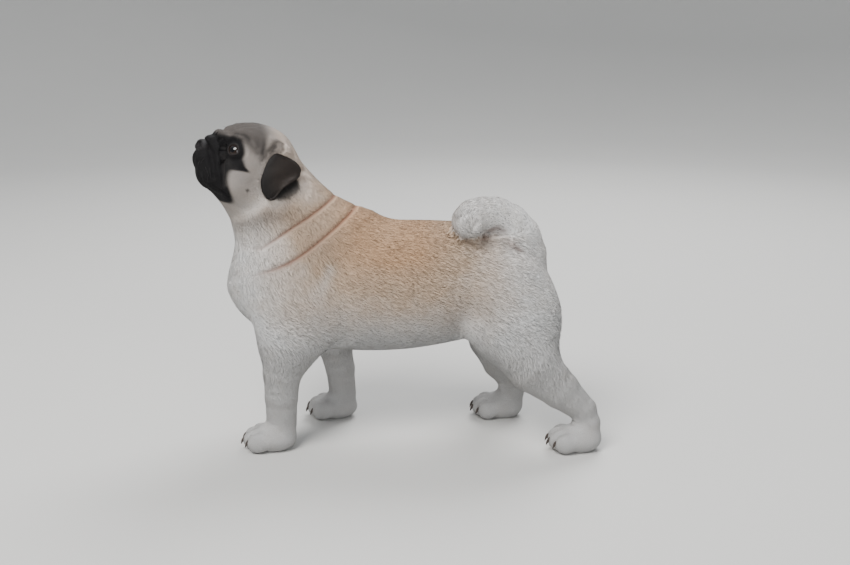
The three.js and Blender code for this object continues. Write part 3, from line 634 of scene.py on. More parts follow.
def tube(path, radii, around=10, up=(0, 0, 1)):
    """Rings of a round tube along a path, in the path's own units."""
    path = np.asarray(path, float)
    ways = np.gradient(path, axis=0)
    ways /= np.linalg.norm(ways, axis=1)[:, None]
    across = np.cross(ways, up)
    across /= np.maximum(np.linalg.norm(across, axis=1)[:, None], 1e-6)
    over = np.cross(across, ways)
    turns = np.linspace(0, 2 * np.pi, around, endpoint=False)
    return [
        c + r * (np.cos(turns)[:, None] * s + np.sin(turns)[:, None] * o)
        for c, r, s, o in zip(path, radii, across, over)
    ]


def outward(piece):
    choose(piece)
    bpy.ops.object.mode_set(mode="EDIT")
    bpy.ops.mesh.select_all(action="SELECT")
    bpy.ops.mesh.normals_make_consistent(inside=False)
    bpy.ops.object.mode_set(mode="OBJECT")


def finished(piece, finish, nodes=()):
    """Gives a piece its finish, hangs it on the root body, and lets it stand for the nodes named."""
    piece.data.materials.clear()
    piece.data.materials.append(finish)
    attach(piece, "root")
    if nodes:
        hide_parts(*nodes)


# Materials
class Wire:
    """A socket of a material's nodes. Arithmetic on it adds Math nodes."""

    def __init__(self, finish, socket):
        self.finish, self.socket = finish, socket

    def math(self, operation, first, second):
        return self.finish.node("Math", {"operation": operation}, {0: first, 1: second})

    def __add__(self, other):
        return self.math("ADD", self, other)

    def __radd__(self, other):
        return self.math("ADD", other, self)

    def __sub__(self, other):
        return self.math("SUBTRACT", self, other)

    def __rsub__(self, other):
        return self.math("SUBTRACT", other, self)

    def __mul__(self, other):
        return self.math("MULTIPLY", self, other)

    def __rmul__(self, other):
        return self.math("MULTIPLY", other, self)


class Finish:
    """Builds the nodes of one material round its Principled shader."""

    def __init__(self, name, constants):
        self.material = bpy.data.materials.new(name)
        self.material.use_nodes = True
        self.tree = self.material.node_tree
        self.shader = self.tree.nodes["Principled BSDF"]
        for socket, value in constants.items():
            self.set(socket, value)

    def set(self, socket, value):
        self.plug(self.shader.inputs[socket], value)

    def plug(self, socket, value):
        if isinstance(value, Wire):
            self.tree.links.new(value.socket, socket)
        else:
            socket.default_value = value

    def node(self, kind, settings, sockets, output=0):
        """Adds a node: its settings first, then the values or wires of its sockets."""
        node = self.tree.nodes.new("ShaderNode" + kind)
        for key, value in settings.items():
            if key == "stops":
                while len(node.color_ramp.elements) < len(value):
                    node.color_ramp.elements.new(0.5)
                for element, (place, colour) in zip(node.color_ramp.elements, value):
                    element.position, element.color = place, colour
            else:
                setattr(node, key, value)
        for key, value in sockets.items():
            self.plug(node.inputs[key], value)
        return Wire(self, node.outputs[output])

    def place(self):
        return self.node("TexCoord", {}, {}, "Object")

    def noise(self, size, detail=2.0, place=None):
        """Noise between 0 and 1 whose features are about size metres across."""
        sockets = {"Vector": place or self.place(), "Scale": 1 / size, "Detail": detail}
        return self.node("TexNoise", {}, sockets, "Fac")

    def ramp(self, value, stops):
        grey = [(place, (level, level, level, 1)) for place, level in stops]
        return self.node("ValToRGB", {"stops": grey}, {"Fac": value})

    def mix(self, share, first, second):
        sockets = {"Factor": share, 6: first, 7: second}
        return self.node("Mix", {"data_type": "RGBA"}, sockets, 2)

    def scale(self, colour, factor):
        return self.node("VectorMath", {"operation": "SCALE"}, {0: colour, "Scale": factor})

    def value(self, name, output="Fac"):
        return self.node("Attribute", {"attribute_name": name}, {}, output)

    def bump(self, height, strength, distance):
        sockets = {"Height": height, "Strength": strength, "Distance": distance}
        self.set("Normal", self.node("Bump", {}, sockets))


def solid(colour):
    return (*colour[:3], 1)


def fur_colour(finish, coat):
    """The coat's colour from the four masks, mottled a little."""
    masks = finish.node("SeparateColor", {}, {"Color": finish.value("markings", "Color")})
    black, warm, grey_and_shade = (Wire(finish, masks.socket.node.outputs[i]) for i in range(3))
    red = finish.value("markings", "Alpha")
    mottle = finish.noise(0.022, 3)
    warm = warm + 0.22 * (mottle - 0.5)
    fawn = finish.mix(warm * 2.0, solid(coat.pale), solid(coat.fawn))
    fawn = finish.mix(warm * 2.0 - 1.0, fawn, solid(coat.saddle))
    # Red brown in the folds of the neck, and the painted shadow under the tail
    fawn = finish.mix(red * 0.9, fawn, solid(coat.fold))
    # Grey brown of the forehead, and painted shade on cheeks, ear loop, throat, neck, belly, thigh, lower
    # legs and under the tail
    fawn = finish.mix(grey_and_shade, fawn, solid(coat.grey_and_shade))
    return finish.mix(black, fawn, solid(coat.black))


def skin_finish(coat):
    finish = Finish("coat_ground", {"Roughness": 0.85, "Specular IOR Level": 0.15})
    grain = finish.noise(0.0011, 2)
    colour = fur_colour(finish, coat)
    # The skin between the tufts is painted a little darker than the coat, as shade under it, and mottled at
    # random
    finish.set("Base Color", finish.scale(colour, 0.66 + 0.45 * grain))
    finish.bump(grain + 0.6 * finish.noise(0.0035, 2), 0.35, 0.0008)
    return finish.material


def fur_finish(coat):
    finish = Finish("short_coat", {"Roughness": 0.6, "Specular IOR Level": 0.22})
    strand = finish.node("SeparateColor", {}, {"Color": finish.value("strand", "Color")})
    own, along = (Wire(finish, strand.socket.node.outputs[i]) for i in range(2))
    colour = fur_colour(finish, coat)
    # Each tuft is painted darker towards its root, as shade among the tufts, and lighter or darker at random
    finish.set("Base Color", finish.scale(colour, (0.90 + 0.12 * along) * (0.90 + 0.20 * own)))
    return finish.material


def velvet_finish(coat):
    finish = Finish("ear_velvet", {"Roughness": 0.6, "Specular IOR Level": 0.25})
    brown = finish.value("browning") * (0.55 + 0.6 * finish.noise(0.012, 3))
    colour = finish.mix(brown, solid(coat.black), solid(coat.ear_brown))
    finish.set("Base Color", finish.mix(0.35 * finish.noise(0.0012, 2), colour, solid(coat.ear_shade)))
    finish.bump(finish.noise(0.0011, 2), 0.4, 0.0007)
    return finish.material


def nose_finish(head):
    finish = Finish("nose_leather", {"Specular IOR Level": 0.18})
    place = finish.place()
    pebble_size = 0.0013
    sockets = {"Vector": place, "Scale": 1 / pebble_size}
    cells = finish.node("TexVoronoi", {"feature": "DISTANCE_TO_EDGE"}, sockets)
    pebbles = finish.ramp(cells, [(0.0, 0), (0.22, 1)])
    damp = finish.noise(0.006, 2, place)
    finish.set("Base Color", finish.mix(0.5 * damp, solid(head.nose), (0.012, 0.011, 0.012, 1)))
    finish.set("Roughness", 0.5 + 0.25 * damp)
    finish.bump(pebbles, 0.45, 0.0004)
    return finish.material


def eye_finish(head):
    """Pupil, iris and the brown rim of the white, by the angle from the middle of the gaze."""
    finish = Finish("eye", {"Roughness": 0.06, "Specular IOR Level": 0.5})
    polar, round_it = finish.value("polar"), finish.value("turn")
    rays = finish.node("CombineXYZ", {}, {"X": round_it * 30.0, "Y": polar * 3.0})
    threads = finish.noise(1.0, 2, rays)
    inner = finish.ramp(polar, [(0.30, 0), (0.36, 1)])
    outer = finish.ramp(polar, [(0.56, 0), (0.72, 1)])
    white = finish.ramp(polar, [(0.74, 0), (0.80, 1)])
    iris = finish.mix(0.35 + 0.65 * threads, solid(head.iris_dark), solid(head.iris))
    iris = finish.mix(inner, solid(head.pupil), iris)
    iris = finish.mix(outer * 0.85, iris, solid(head.pupil))
    white_colour = finish.mix(finish.noise(0.004, 3), solid(head.white), solid(head.white_rim))
    finish.set("Base Color", finish.mix(white, iris, white_colour))
    return finish.material


def lid_finish(head):
    finish = Finish("lid_rim", {"Specular IOR Level": 0.15})
    grain = finish.noise(0.0009, 2)
    finish.set("Base Color", finish.mix(grain, solid(head.nose), (0.014, 0.011, 0.010, 1)))
    finish.set("Roughness", 0.5 + 0.2 * grain)
    finish.bump(grain, 0.3, 0.0003)
    return finish.material


def horn_finish():
    finish = Finish("claw_horn", {"Specular IOR Level": 0.5, "Coat Weight": 0.1})
    place = finish.place()
    bands = finish.noise(0.004, 3, finish.node("Mapping", {}, {"Vector": place, "Scale": (0.4, 2.5, 1.0)}))
    finish.set("Base Color", finish.mix(bands, (0.012, 0.010, 0.009, 1), (0.07, 0.05, 0.04, 1)))
    finish.set("Roughness", 0.35 + 0.25 * bands)
    finish.bump(bands, 0.3, 0.0003)
    return finish.material


def whisker_finish():
    finish = Finish("whisker", {"Roughness": 0.4})
    finish.set("Base Color", finish.mix(finish.noise(0.01), (0.01, 0.009, 0.009, 1), (0.03, 0.025, 0.022, 1)))
    return finish.material


def floor_finish(stage):
    finish = Finish("studio_floor", {"Roughness": 0.8, "Specular IOR Level": 0.2})
    lighter = (0.60, 0.59, 0.57, 1)
    finish.set("Base Color", finish.mix(0.25 * finish.noise(0.4, 3), solid(stage.floor), lighter))
    return finish.material


# Settings that a user would change
def colour_setting(name, description, default):
    return FloatVectorProperty(
        name=name, description=description, default=default, subtype="COLOR", min=0, max=1
    )


def size_setting(name, description, default):
    return FloatProperty(name=name, description=description, default=default, unit="LENGTH", min=0)


def light_setting(name, description, default):
    return FloatProperty(name=name, description=description, default=default, unit="POWER", min=0)


class CoatSettings(PropertyGroup):
    length: size_setting("Body length", "Length of a tuft on the body", 0.0068)
    face_length: size_setting("Face length", "Length of a tuft on the face", 0.0024)
    width: size_setting("Width", "Width of a body tuft at its root", 0.00054)
    lift: FloatProperty(
        name="Lift",
        description="How far a tuft stands out from the skin",
        default=math.radians(3.2),
        unit="ROTATION",
    )
    cover: FloatProperty(
        name="Cover", description="How many layers of tufts lie over the skin", default=1.2, min=0.1
    )
    seed: IntProperty(
        name="Seed", description="Start of the random draw that scatters the tufts", default=7
    )
    pale: colour_setting("Pale", "Cream of chest, legs and tail", (0.63, 0.625, 0.62))
    fawn: colour_setting("Fawn", "Light fawn of the flanks", (0.44, 0.325, 0.235))
    saddle: colour_setting("Saddle", "Apricot of the back", (0.45, 0.282, 0.168))
    # The fold colour also paints the shadow under the tail
    fold: colour_setting("Fold", "Reddish brown in the folds of the neck", (0.15, 0.058, 0.034))
    # This grey brown is also the colour of the painted shade on cheeks, ear loop, throat, neck, belly, thigh,
    # lower legs and under the tail
    grey_and_shade: colour_setting("Dusk", "Grey brown of the forehead", (0.072, 0.063, 0.058))
    black: colour_setting("Black", "Black of mask and ears", (0.0065, 0.006, 0.0065))
    ear_brown: colour_setting("Ear brown", "Brown bloom at the rear of the ears", (0.030, 0.022, 0.018))
    ear_shade: colour_setting("Ear shade", "Deepest black of the ears", (0.006, 0.005, 0.005))


class HeadSettings(PropertyGroup):
    lid_thickness: size_setting("Lid rim", "Radius of a lid's rim", 0.0013)
    flap_thickness: size_setting("Ear thickness", "Thickness of an ear's flap", 0.0028)
    nose: colour_setting("Nose", "Black of nose and lid rims", (0.008, 0.007, 0.0075))
    pupil: colour_setting("Pupil", "Black of the pupil", (0.002, 0.002, 0.003))
    iris: colour_setting("Iris", "Brown of the iris", (0.016, 0.008, 0.005))
    iris_dark: colour_setting("Dark iris", "Dark threads of the iris", (0.006, 0.004, 0.003))
    white: colour_setting("White", "White of the eye", (0.032, 0.024, 0.021))
    white_rim: colour_setting("White's rim", "Brown pigment on the white of the eye", (0.03, 0.016, 0.011))


class StageSettings(PropertyGroup):
    floor: colour_setting("Floor", "Colour of the floor and backdrop", (0.52, 0.515, 0.50))
    key: light_setting("Key light", "Strength of the big soft light", 125.0)
    fill: light_setting("Fill light", "Strength of the light from the front", 32.0)
    rim: light_setting("Rim light", "Strength of the light from behind", 76.8)
    sky: FloatProperty(name="Sky", description="Strength of the even light all round", default=0.6, min=0)


class PugOperator(Operator):
    """Common part of the operators that add pieces."""

    bl_options = {"REGISTER"}

    def execute(self, context):
        scene = context.scene
        self.build(scene.pug_coat, scene.pug_head, scene.pug_stage)
        return {"FINISHED"}


# Skin, in metres: the size of its first cells, and how far the solids swell to close the cuts between them
SKIN_CELL = 0.005
INFLATE = 0.0026


def slender(p):
    """Neck, head, tail, lower legs and paws."""
    x, _, z = p.T
    head_x, _, head_z = HEAD.inside(p).T
    head = (head_x < 95) & (head_z > -85) & (z > 200)
    neck = (x < -36) & (z > 215)
    tail = (x > 62) & (z > 262)
    return head | neck | tail | (z < 118)


def face(p):
    h = HEAD.inside(p)
    return (h[:, 0] < 28) & (h[:, 2] > -62) & (p[:, 2] > 200)


def fine_face(p):
    """Muzzle, folds and eyes."""
    m = mirrored(HEAD.inside(p))
    near_folds = line(m, [(-18, 3, 3), (-13, 36, -18), (-3, 43, -38), (18, 38, -56)]) < 9
    near_eye = np.linalg.norm(m - EYE, axis=1) < 18
    near_nose = np.linalg.norm(m - (-34, 6, -20), axis=1) < 20
    near_mouth = line(m, MOUTH) < 4
    return near_folds | near_eye | near_nose | near_mouth


def unwrap(piece):
    """A flat plan of a piece's surface, which the coat's tufts share."""
    choose(piece)
    piece.data.uv_layers.new(name="Plan")
    bpy.ops.object.mode_set(mode="EDIT")
    bpy.ops.mesh.select_all(action="SELECT")
    bpy.ops.uv.smart_project(angle_limit=math.radians(70), island_margin=0.004)
    bpy.ops.object.mode_set(mode="OBJECT")


class PUG_OT_skin(PugOperator):
    """Covers trunk, neck, head, legs and tail with one skin that has the folds of face and neck"""

    bl_idname = "pug.skin"
    bl_label = "Skin"

    def build(self, coat, head, stage):
        flesh = [node for node in FLESH if node != "tail"]
        skin = copy_of(flesh + ["eye_left", "eye_right", "nose"], "skin", [self.tail()])
        apply_modifier(skin, "DISPLACE", strength=INFLATE, mid_level=0)
        apply_modifier(skin, "REMESH", mode="VOXEL", voxel_size=SKIN_CELL)
        keep_largest(skin)
        settle(skin, lambda p: skin_form(p) - 1.0, 2, stride=4.0)
        relax(skin, 2)
        settle(skin, skin_form, 2)
        for region in (slender, face, fine_face):
            self.refine(skin, region)
            settle(skin, skin_form, 2, region)
        self.level_soles(skin)
        choose(skin)
        bpy.ops.object.shade_smooth()
        add_values(skin.data, "markings", markings(to_form(read_points(skin.data))))
        unwrap(skin)
        finished(skin, skin_finish(coat), FLESH)

    def tail(self):
        """A rough tube along the tail, for the skin to start from."""
        rows = np.column_stack([np.linspace(0, 1, len(TAIL)), np.array(TAIL, float)])
        *path, radii = curves_through(rows, np.linspace(0, 1, 60))
        corners, faces = loft(tube(np.stack(path, 1), radii, 24, (0, 1, 0.2)))
        tail = new_piece("tail_start", to_mesh(corners), faces)
        outward(tail)
        return tail

    def refine(self, skin, region):
        """Halves the cells of a region."""
        select_vertices(skin, region(to_form(read_points(skin.data))))
        bpy.ops.object.mode_set(mode="EDIT")
        bpy.ops.mesh.subdivide(number_cuts=1)
        bpy.ops.object.mode_set(mode="OBJECT")

    def level_soles(self, skin):
        points = read_points(skin.data)
        points[:, 2] = np.maximum(points[:, 2], 0)
        write_points(skin.data, points)


# Eyes and lids
def eye_frame(side):
    """Centre of an eye in the form, and its look, across and upright axes in the form's frame."""
    mirror = np.array([1, side, 1])
    look, across, upright = (HEAD.turned(axis * mirror) for axis in eye_axes())
    return HEAD.outside(EYE * mirror), look, across, upright


class PUG_OT_eyes(PugOperator):
    """Adds the eyeballs, whose fronts bulge, with dark brown irises"""

    bl_idname = "pug.eyes"
    bl_label = "Eyes"

    def build(self, coat, head, stage):
        finish = eye_finish(head)
        for name, side in SIDES.items():
            self.eyeball(name, side, finish)

    def eyeball(self, name, side, finish):
        centre, look, across, upright = eye_frame(side)
        bpy.ops.object.select_all(action="DESELECT")
        bpy.ops.mesh.primitive_uv_sphere_add(segments=64, ring_count=48, radius=1)
        ball = bpy.context.object
        ball.name = ball.data.name = f"eyeball_{name}"
        unit = read_points(ball.data)
        polar = np.arccos(np.clip(unit[:, 2], -1, 1))
        radius = (EYE_RADIUS - 0.15) * (1 + 0.055 * bump(polar, 0.55))
        points = radius[:, None] * (unit[:, :1] * across + unit[:, 1:2] * upright + unit[:, 2:] * look)
        write_points(ball.data, to_mesh(centre + points))
        outward(ball)
        bpy.ops.object.shade_smooth()
        add_values(ball.data, "polar", polar)
        add_values(ball.data, "turn", np.abs(np.arctan2(unit[:, 1], unit[:, 0])))
        finished(ball, finish, [f"eye_{name}"])


class PUG_OT_lids(PugOperator):
    """Adds the bare black rims of the upper and lower lids"""

    bl_idname = "pug.lids"
    bl_label = "Lids"

    def build(self, coat, head, stage):
        finish = lid_finish(head)
        for name, side in SIDES.items():
            self.rim(name, side, head.lid_thickness / MM, finish)

    def rim(self, name, side, thick, finish):
        """A closed ring that lies on the eyeball, thicker above than below."""
        centre, look, across, upright = eye_frame(side)
        turns = np.linspace(0, 2 * np.pi, 72, endpoint=False)
        wide, high = EYE_OPENING
        level = np.tan(wide * np.cos(turns))[:, None]
        raised = np.tan(high * np.sin(turns) * (1 - 0.12 * np.cos(turns) ** 2))[:, None]
        ways = look + level * across + raised * upright
        ways /= np.linalg.norm(ways, axis=1)[:, None]
        path = centre + (EYE_RADIUS + 0.35 * thick) * ways
        radii = thick * (1 + 0.12 * np.sin(turns))
        path = np.vstack([path[-2:], path, path[:2]])
        radii = np.r_[radii[-2:], radii, radii[:2]]
        rings = np.array(tube(path, radii, 12, look))[2:-2]
        count, around = rings.shape[:2]
        ring, place = np.divmod(np.arange(count * around), around)
        here, ahead = ring * around, (ring + 1) % count * around
        beside = (place + 1) % around
        quads = np.stack([here + place, ahead + place, ahead + beside, here + beside], 1)
        rim = new_piece(f"lid_rim_{name}", to_mesh(rings.reshape(-1, 3)), quads)
        outward(rim)
        finished(rim, finish)


# Nose
NOSE = np.array([-33, 0, -14.5])
NOSTRIL = [(-48, 4.6, -14.5, 2.4), (-41, 5.6, -14, 2.3), (-35, 7, -13.5, 1.2)]
NOSTRIL_SLIT = [(-43, 6.5, -14.5, 1.5), (-41, 11, -15, 1.2), (-36, 16, -17, 0.5)]
NOSE_GROOVE = [(-43, 0, -11.5), (-43, 0, -17.5), (-39, 0, -24.5)]


def nose_form(h):
    m = mirrored(h)
    wing = mass(m, NOSE + (1.5, 9, -1), (8, 7, 7))
    form = melt(mass(h, NOSE, (9, 12, 9)), wing, 3)
    form = carve(form, bar(m, NOSTRIL), 1.4)
    form = carve(form, bar(m, NOSTRIL_SLIT), 1.2)
    return form + 0.9 * bump(line(m, NOSE_GROOVE), 1.1)


def nose_in_place(p):
    return nose_form(HEAD.inside(p))


class PUG_OT_nose(PugOperator):
    """Adds the nose leather with its nostrils, wings and middle groove"""

    bl_idname = "pug.nose"
    bl_label = "Nose"

    def build(self, coat, head, stage):
        nose = copy_of(["nose"], "nose_leather")
        apply_modifier(nose, "REMESH", mode="VOXEL", voxel_size=0.0006)
        keep_largest(nose)
        settle(nose, nose_in_place, 3, stride=0.8)
        relax(nose, 4)
        settle(nose, nose_in_place, 3, stride=0.8)
        bpy.ops.object.shade_smooth()
        finished(nose, nose_finish(head), ["nose"])


# Ears: rows from root to tip of the flap's front and rear edges, as (share, x, y, z, x, y, z)
EAR_ROWS = [
    (0, 36, 41, 18, 70, 35, 14),
    (0.15, 35, 48, 16, 76, 44, 17),
    (0.35, 33, 53, 5, 78, 52, 6),
    (0.55, 33, 56, -6, 71, 58, -5),
    (0.75, 36, 57, -20, 65, 60, -16),
    (0.9, 44, 58, -30, 62, 59, -27),
    (1, 51, 58, -34, 57, 59, -33),
]


def flap_point(s, t):
    """The middle surface of the right ear's flap: s from its front to its rear edge, t from root to tip."""
    fx, fy, fz, rx, ry, rz = curves_through(EAR_ROWS, t)
    curl = np.maximum(0, (s - 0.62) / 0.38) ** 2 * bump(t - 0.62, 0.28)
    arch = np.sin(np.pi * s)
    x = fx + s * (rx - fx) - 5 * curl
    y = fy + s * (ry - fy) + 3.2 * arch * (1 - t) + 5.5 * curl + 1.2 * np.sin(np.pi * t) * arch
    z = fz + s * (rz - fz) + 4 * arch * bump(t - 0.15, 0.2)
    return np.stack([x, y, z], 1)


def ear_browning(h):
    """Brown blooms over the upper rear of an ear."""
    bloom = 1 - ease(-4, 22, mass(mirrored(h), (68, 52, 4), (20, 20, 22)))
    return 0.15 + 0.85 * bloom


class PUG_OT_ears(PugOperator):
    """Adds the folded ears, thin flaps whose rear edges curl up from the hollows behind them"""

    bl_idname = "pug.ears"
    bl_label = "Ears"

    def build(self, coat, head, stage):
        finish = velvet_finish(coat)
        for name, side in SIDES.items():
            self.flap(name, side, head.flap_thickness / MM, finish)

    def flap(self, name, side, thickness, finish):
        """A thin sheet with two faces and a rim, thinner towards its edges and a little wavy."""
        across, along = 40, 52
        i, j = np.meshgrid(np.arange(across + 1), np.arange(along + 1), indexing="ij")
        s, t = i.ravel() / across, j.ravel() / along
        middle = flap_point(s, t)
        step = 0.01
        sideways = flap_point(np.minimum(s + step, 1), t) - flap_point(np.maximum(s - step, 0), t)
        downwards = flap_point(s, np.minimum(t + step, 1)) - flap_point(s, np.maximum(t - step, 0))
        normal = np.cross(sideways, downwards)
        normal /= np.linalg.norm(normal, axis=1)[:, None]
        edge = np.minimum(1, 7 * np.minimum(np.minimum(s, 1 - s), 1 - t) + 0.25) ** 0.6
        ripple = 0.5 * np.sin(9 * s + 4 * t) * np.sin(7 * t + 2 * s)
        half = (thickness / 2 * edge)[:, None] * normal
        wave = (ripple * edge)[:, None] * normal
        corners = np.vstack([middle + wave + half, middle + wave - half]) * (1, side, 1)
        wide = along + 1
        layer = (across + 1) * wide
        a = (np.arange(across)[:, None] * wide + np.arange(along)).ravel()
        top = np.stack([a, a + wide, a + wide + 1, a + 1], 1)
        front, tip = np.arange(along), np.arange(across) * wide + along
        rear, root = across * wide + np.arange(along, 0, -1), np.arange(across, 0, -1) * wide
        rim = np.concatenate([front, tip, rear, root])
        after = np.roll(rim, -1)
        sides = np.stack([rim, after, after + layer, rim + layer], 1)
        faces = np.vstack([top, top[:, ::-1] + layer, sides])
        flap = new_piece(f"ear_flap_{name}", to_mesh(HEAD.outside(corners)), faces)
        outward(flap)
        apply_modifier(flap, "SUBSURF", levels=1, render_levels=1)
        add_values(flap.data, "browning", ear_browning(HEAD.inside(to_form(read_points(flap.data)))))
        unwrap(flap)
        self.rim(name, side, finish)
        finished(flap, finish, [f"ear_{name}"])

    def rim(self, name, side, finish):
        """The rear rim of the ear, which runs round the hollow to the tip of the flap."""
        points = np.array([(70, 38, 16, 1.4), *EAR_RIDGE, (55, 57, -33, 1.6)])
        rows = np.column_stack([np.linspace(0, 1, len(points)), points])
        x, y, z, radius = curves_through(rows, np.linspace(0, 1, 40))
        path = np.stack([x, (y + 2.5) * side, z], 1)
        corners, faces = loft(tube(path, radius * 1.25, 14, (0, side, 0)))
        rim = new_piece(f"ear_rim_{name}", to_mesh(HEAD.outside(corners)), faces)
        outward(rim)
        add_values(rim.data, "browning", np.full(len(corners), 0.55))
        finished(rim, finish)


# Claws
class PUG_OT_claws(PugOperator):
    """Adds a curved horn claw to the front of every toe"""

    bl_idname = "pug.claws"
    bl_label = "Claws"

    def build(self, coat, head, stage):
        finish = horn_finish()
        for name, leg in LEGS.items():
            for i, (dx, dy) in enumerate(TOES, 1):
                self.claw(f"{name}_{i}", np.array(leg["paw"]) + (dx, dy, -1), finish)

    def claw(self, name, toe, finish):
        t = np.linspace(0, 1, 16)
        rows = [(0, -7, 4, 2.4), (0.45, -12, 2.5, 2.3), (0.8, -15, -1.5, 1.6), (1, -16.5, -5.5, 0.35)]
        x, z, radius = curves_through(rows, t)
        path = toe + np.stack([x, 0 * x, z], 1)
        rings = tube(path, radius, 14, (0, 1, 0))
        corners, faces = loft(rings)
        horn = new_piece(f"horn_{name}", to_mesh(corners), faces)
        outward(horn)
        finished(horn, finish, [f"claw_{name}"])


# Coat: its pieces, each with a test of which roots are its own among those that are left
COAT_PIECES = {
    "coat_head": lambda p, h: (h[:, 0] < 62) & (h[:, 2] > -66) & (p[:, 2] > 290),
    "coat_neck": lambda p, h: p[:, 0] < -88,
    "coat_left": lambda p, h: (p[:, 1] < 0) & (p[:, 0] < 45),
    "coat_right": lambda p, h: (p[:, 1] >= 0) & (p[:, 0] < 45),
    "coat_rear_left": lambda p, h: p[:, 1] < 0,
    "coat_rear_right": lambda p, h: p[:, 1] >= 0,
}
LARGEST_COAT_PIECE = 49000  # tufts
BACKS_OF_THIGHS = [
    [(200, -50, 190), (196, -50, 150), (205, -52, 110)],
    [(190, 50, 190), (176, 50, 150), (160, 52, 110)],
]


def unit(vectors):
    return vectors / np.maximum(np.linalg.norm(vectors, axis=1)[:, None], 1e-9)


def lie(p, normals):
    """The way the coat lies at each point, along the skin."""
    h = HEAD.inside(p)
    on_head = 1 - ease(40, 80, h[:, 0] - 0.25 * h[:, 2])
    on_head = on_head * (1 - ease(0, 25, head_form(h)))
    from_nose = HEAD.turned(unit(h - (-40, 0, -14) + 0.001))
    on_neck = (1 - ease(-110, -40, p[:, 0])) * ease(170, 230, p[:, 2])
    on_leg = 1 - ease(110, 170, p[:, 2])
    on_paw = 1 - ease(22, 44, p[:, 2])
    belly = 1 - ease(-0.8, -0.3, normals[:, 2])
    tail_near, tail_way = lie_of_tail(p)
    on_tail = (1 - ease(-0.5, 2, tail_near)) * ease(262, 280, p[:, 2])
    ways = np.array([0.85, 0, -0.35])
    for share, way in (
        (on_neck, (0.5, 0, -0.85)),
        (belly, (1, 0, 0)),
        (on_leg * (1 - belly * ease(100, 120, p[:, 2])), (0.12, 0, -1)),
        (on_paw, (-0.9, 0, -0.45)),
        (on_tail, tail_way),
        (on_head, from_nose),
    ):
        ways = ways * (1 - share)[:, None] + share[:, None] * np.array(way)
    flat = ways - normals * (ways * normals).sum(1)[:, None]
    return unit(flat + 1e-6)


def lie_of_tail(p):
    """How far each point is from the tail's surface, and the way that the nearest stretch of tail runs."""
    near = np.full(len(p), np.inf)
    ways = np.zeros_like(p)
    for a, b in zip(TAIL[1:-1], TAIL[2:]):
        start, way = np.array(a[:3], float), np.array(b[:3], float) - a[:3]
        t = np.clip((p - start) @ way / (way @ way), 0, 1)
        off = np.linalg.norm(p - start - t[:, None] * way, axis=1) - a[3]
        nearer = off < near
        near = np.where(nearer, off, near)
        ways[nearer] = way / np.linalg.norm(way)
    return near, ways


def tuft_length(p, coat):
    """Tuft lengths in millimetres: short on face and feet, longest behind the thighs and under the tail."""
    h = HEAD.inside(p)
    body, face = coat.length / MM, coat.face_length / MM
    length = np.full(len(p), body)
    for back in BACKS_OF_THIGHS:
        length = length + 3.0 * bump(line(p, back), 22)
    length = length + 0.6 * (1 - ease(0, 30, bar(p, TAIL[2:])))
    length = length * (1 - 0.4 * np.minimum(1, 2 * np.abs(neck_folds(p))))
    length = length - 0.42 * body * (1 - ease(60, 130, p[:, 2]))
    length = length - 0.2 * body * (1 - ease(20, 50, p[:, 2]))
    near_head = 1 - ease(0, 24, head_form(h))
    skull = near_head * (1 - ease(56, 96, h[:, 0]))
    length = length * (1 - skull) + skull * 1.9 * face
    muzzle = near_head * (1 - ease(6, 40, h[:, 0]))
    return length * (1 - muzzle) + muzzle * face


def tuft_width(length, coat):
    """Short tufts are narrower too."""
    return coat.width / MM * np.clip(length / (coat.length / MM), 0.42, 1.1)


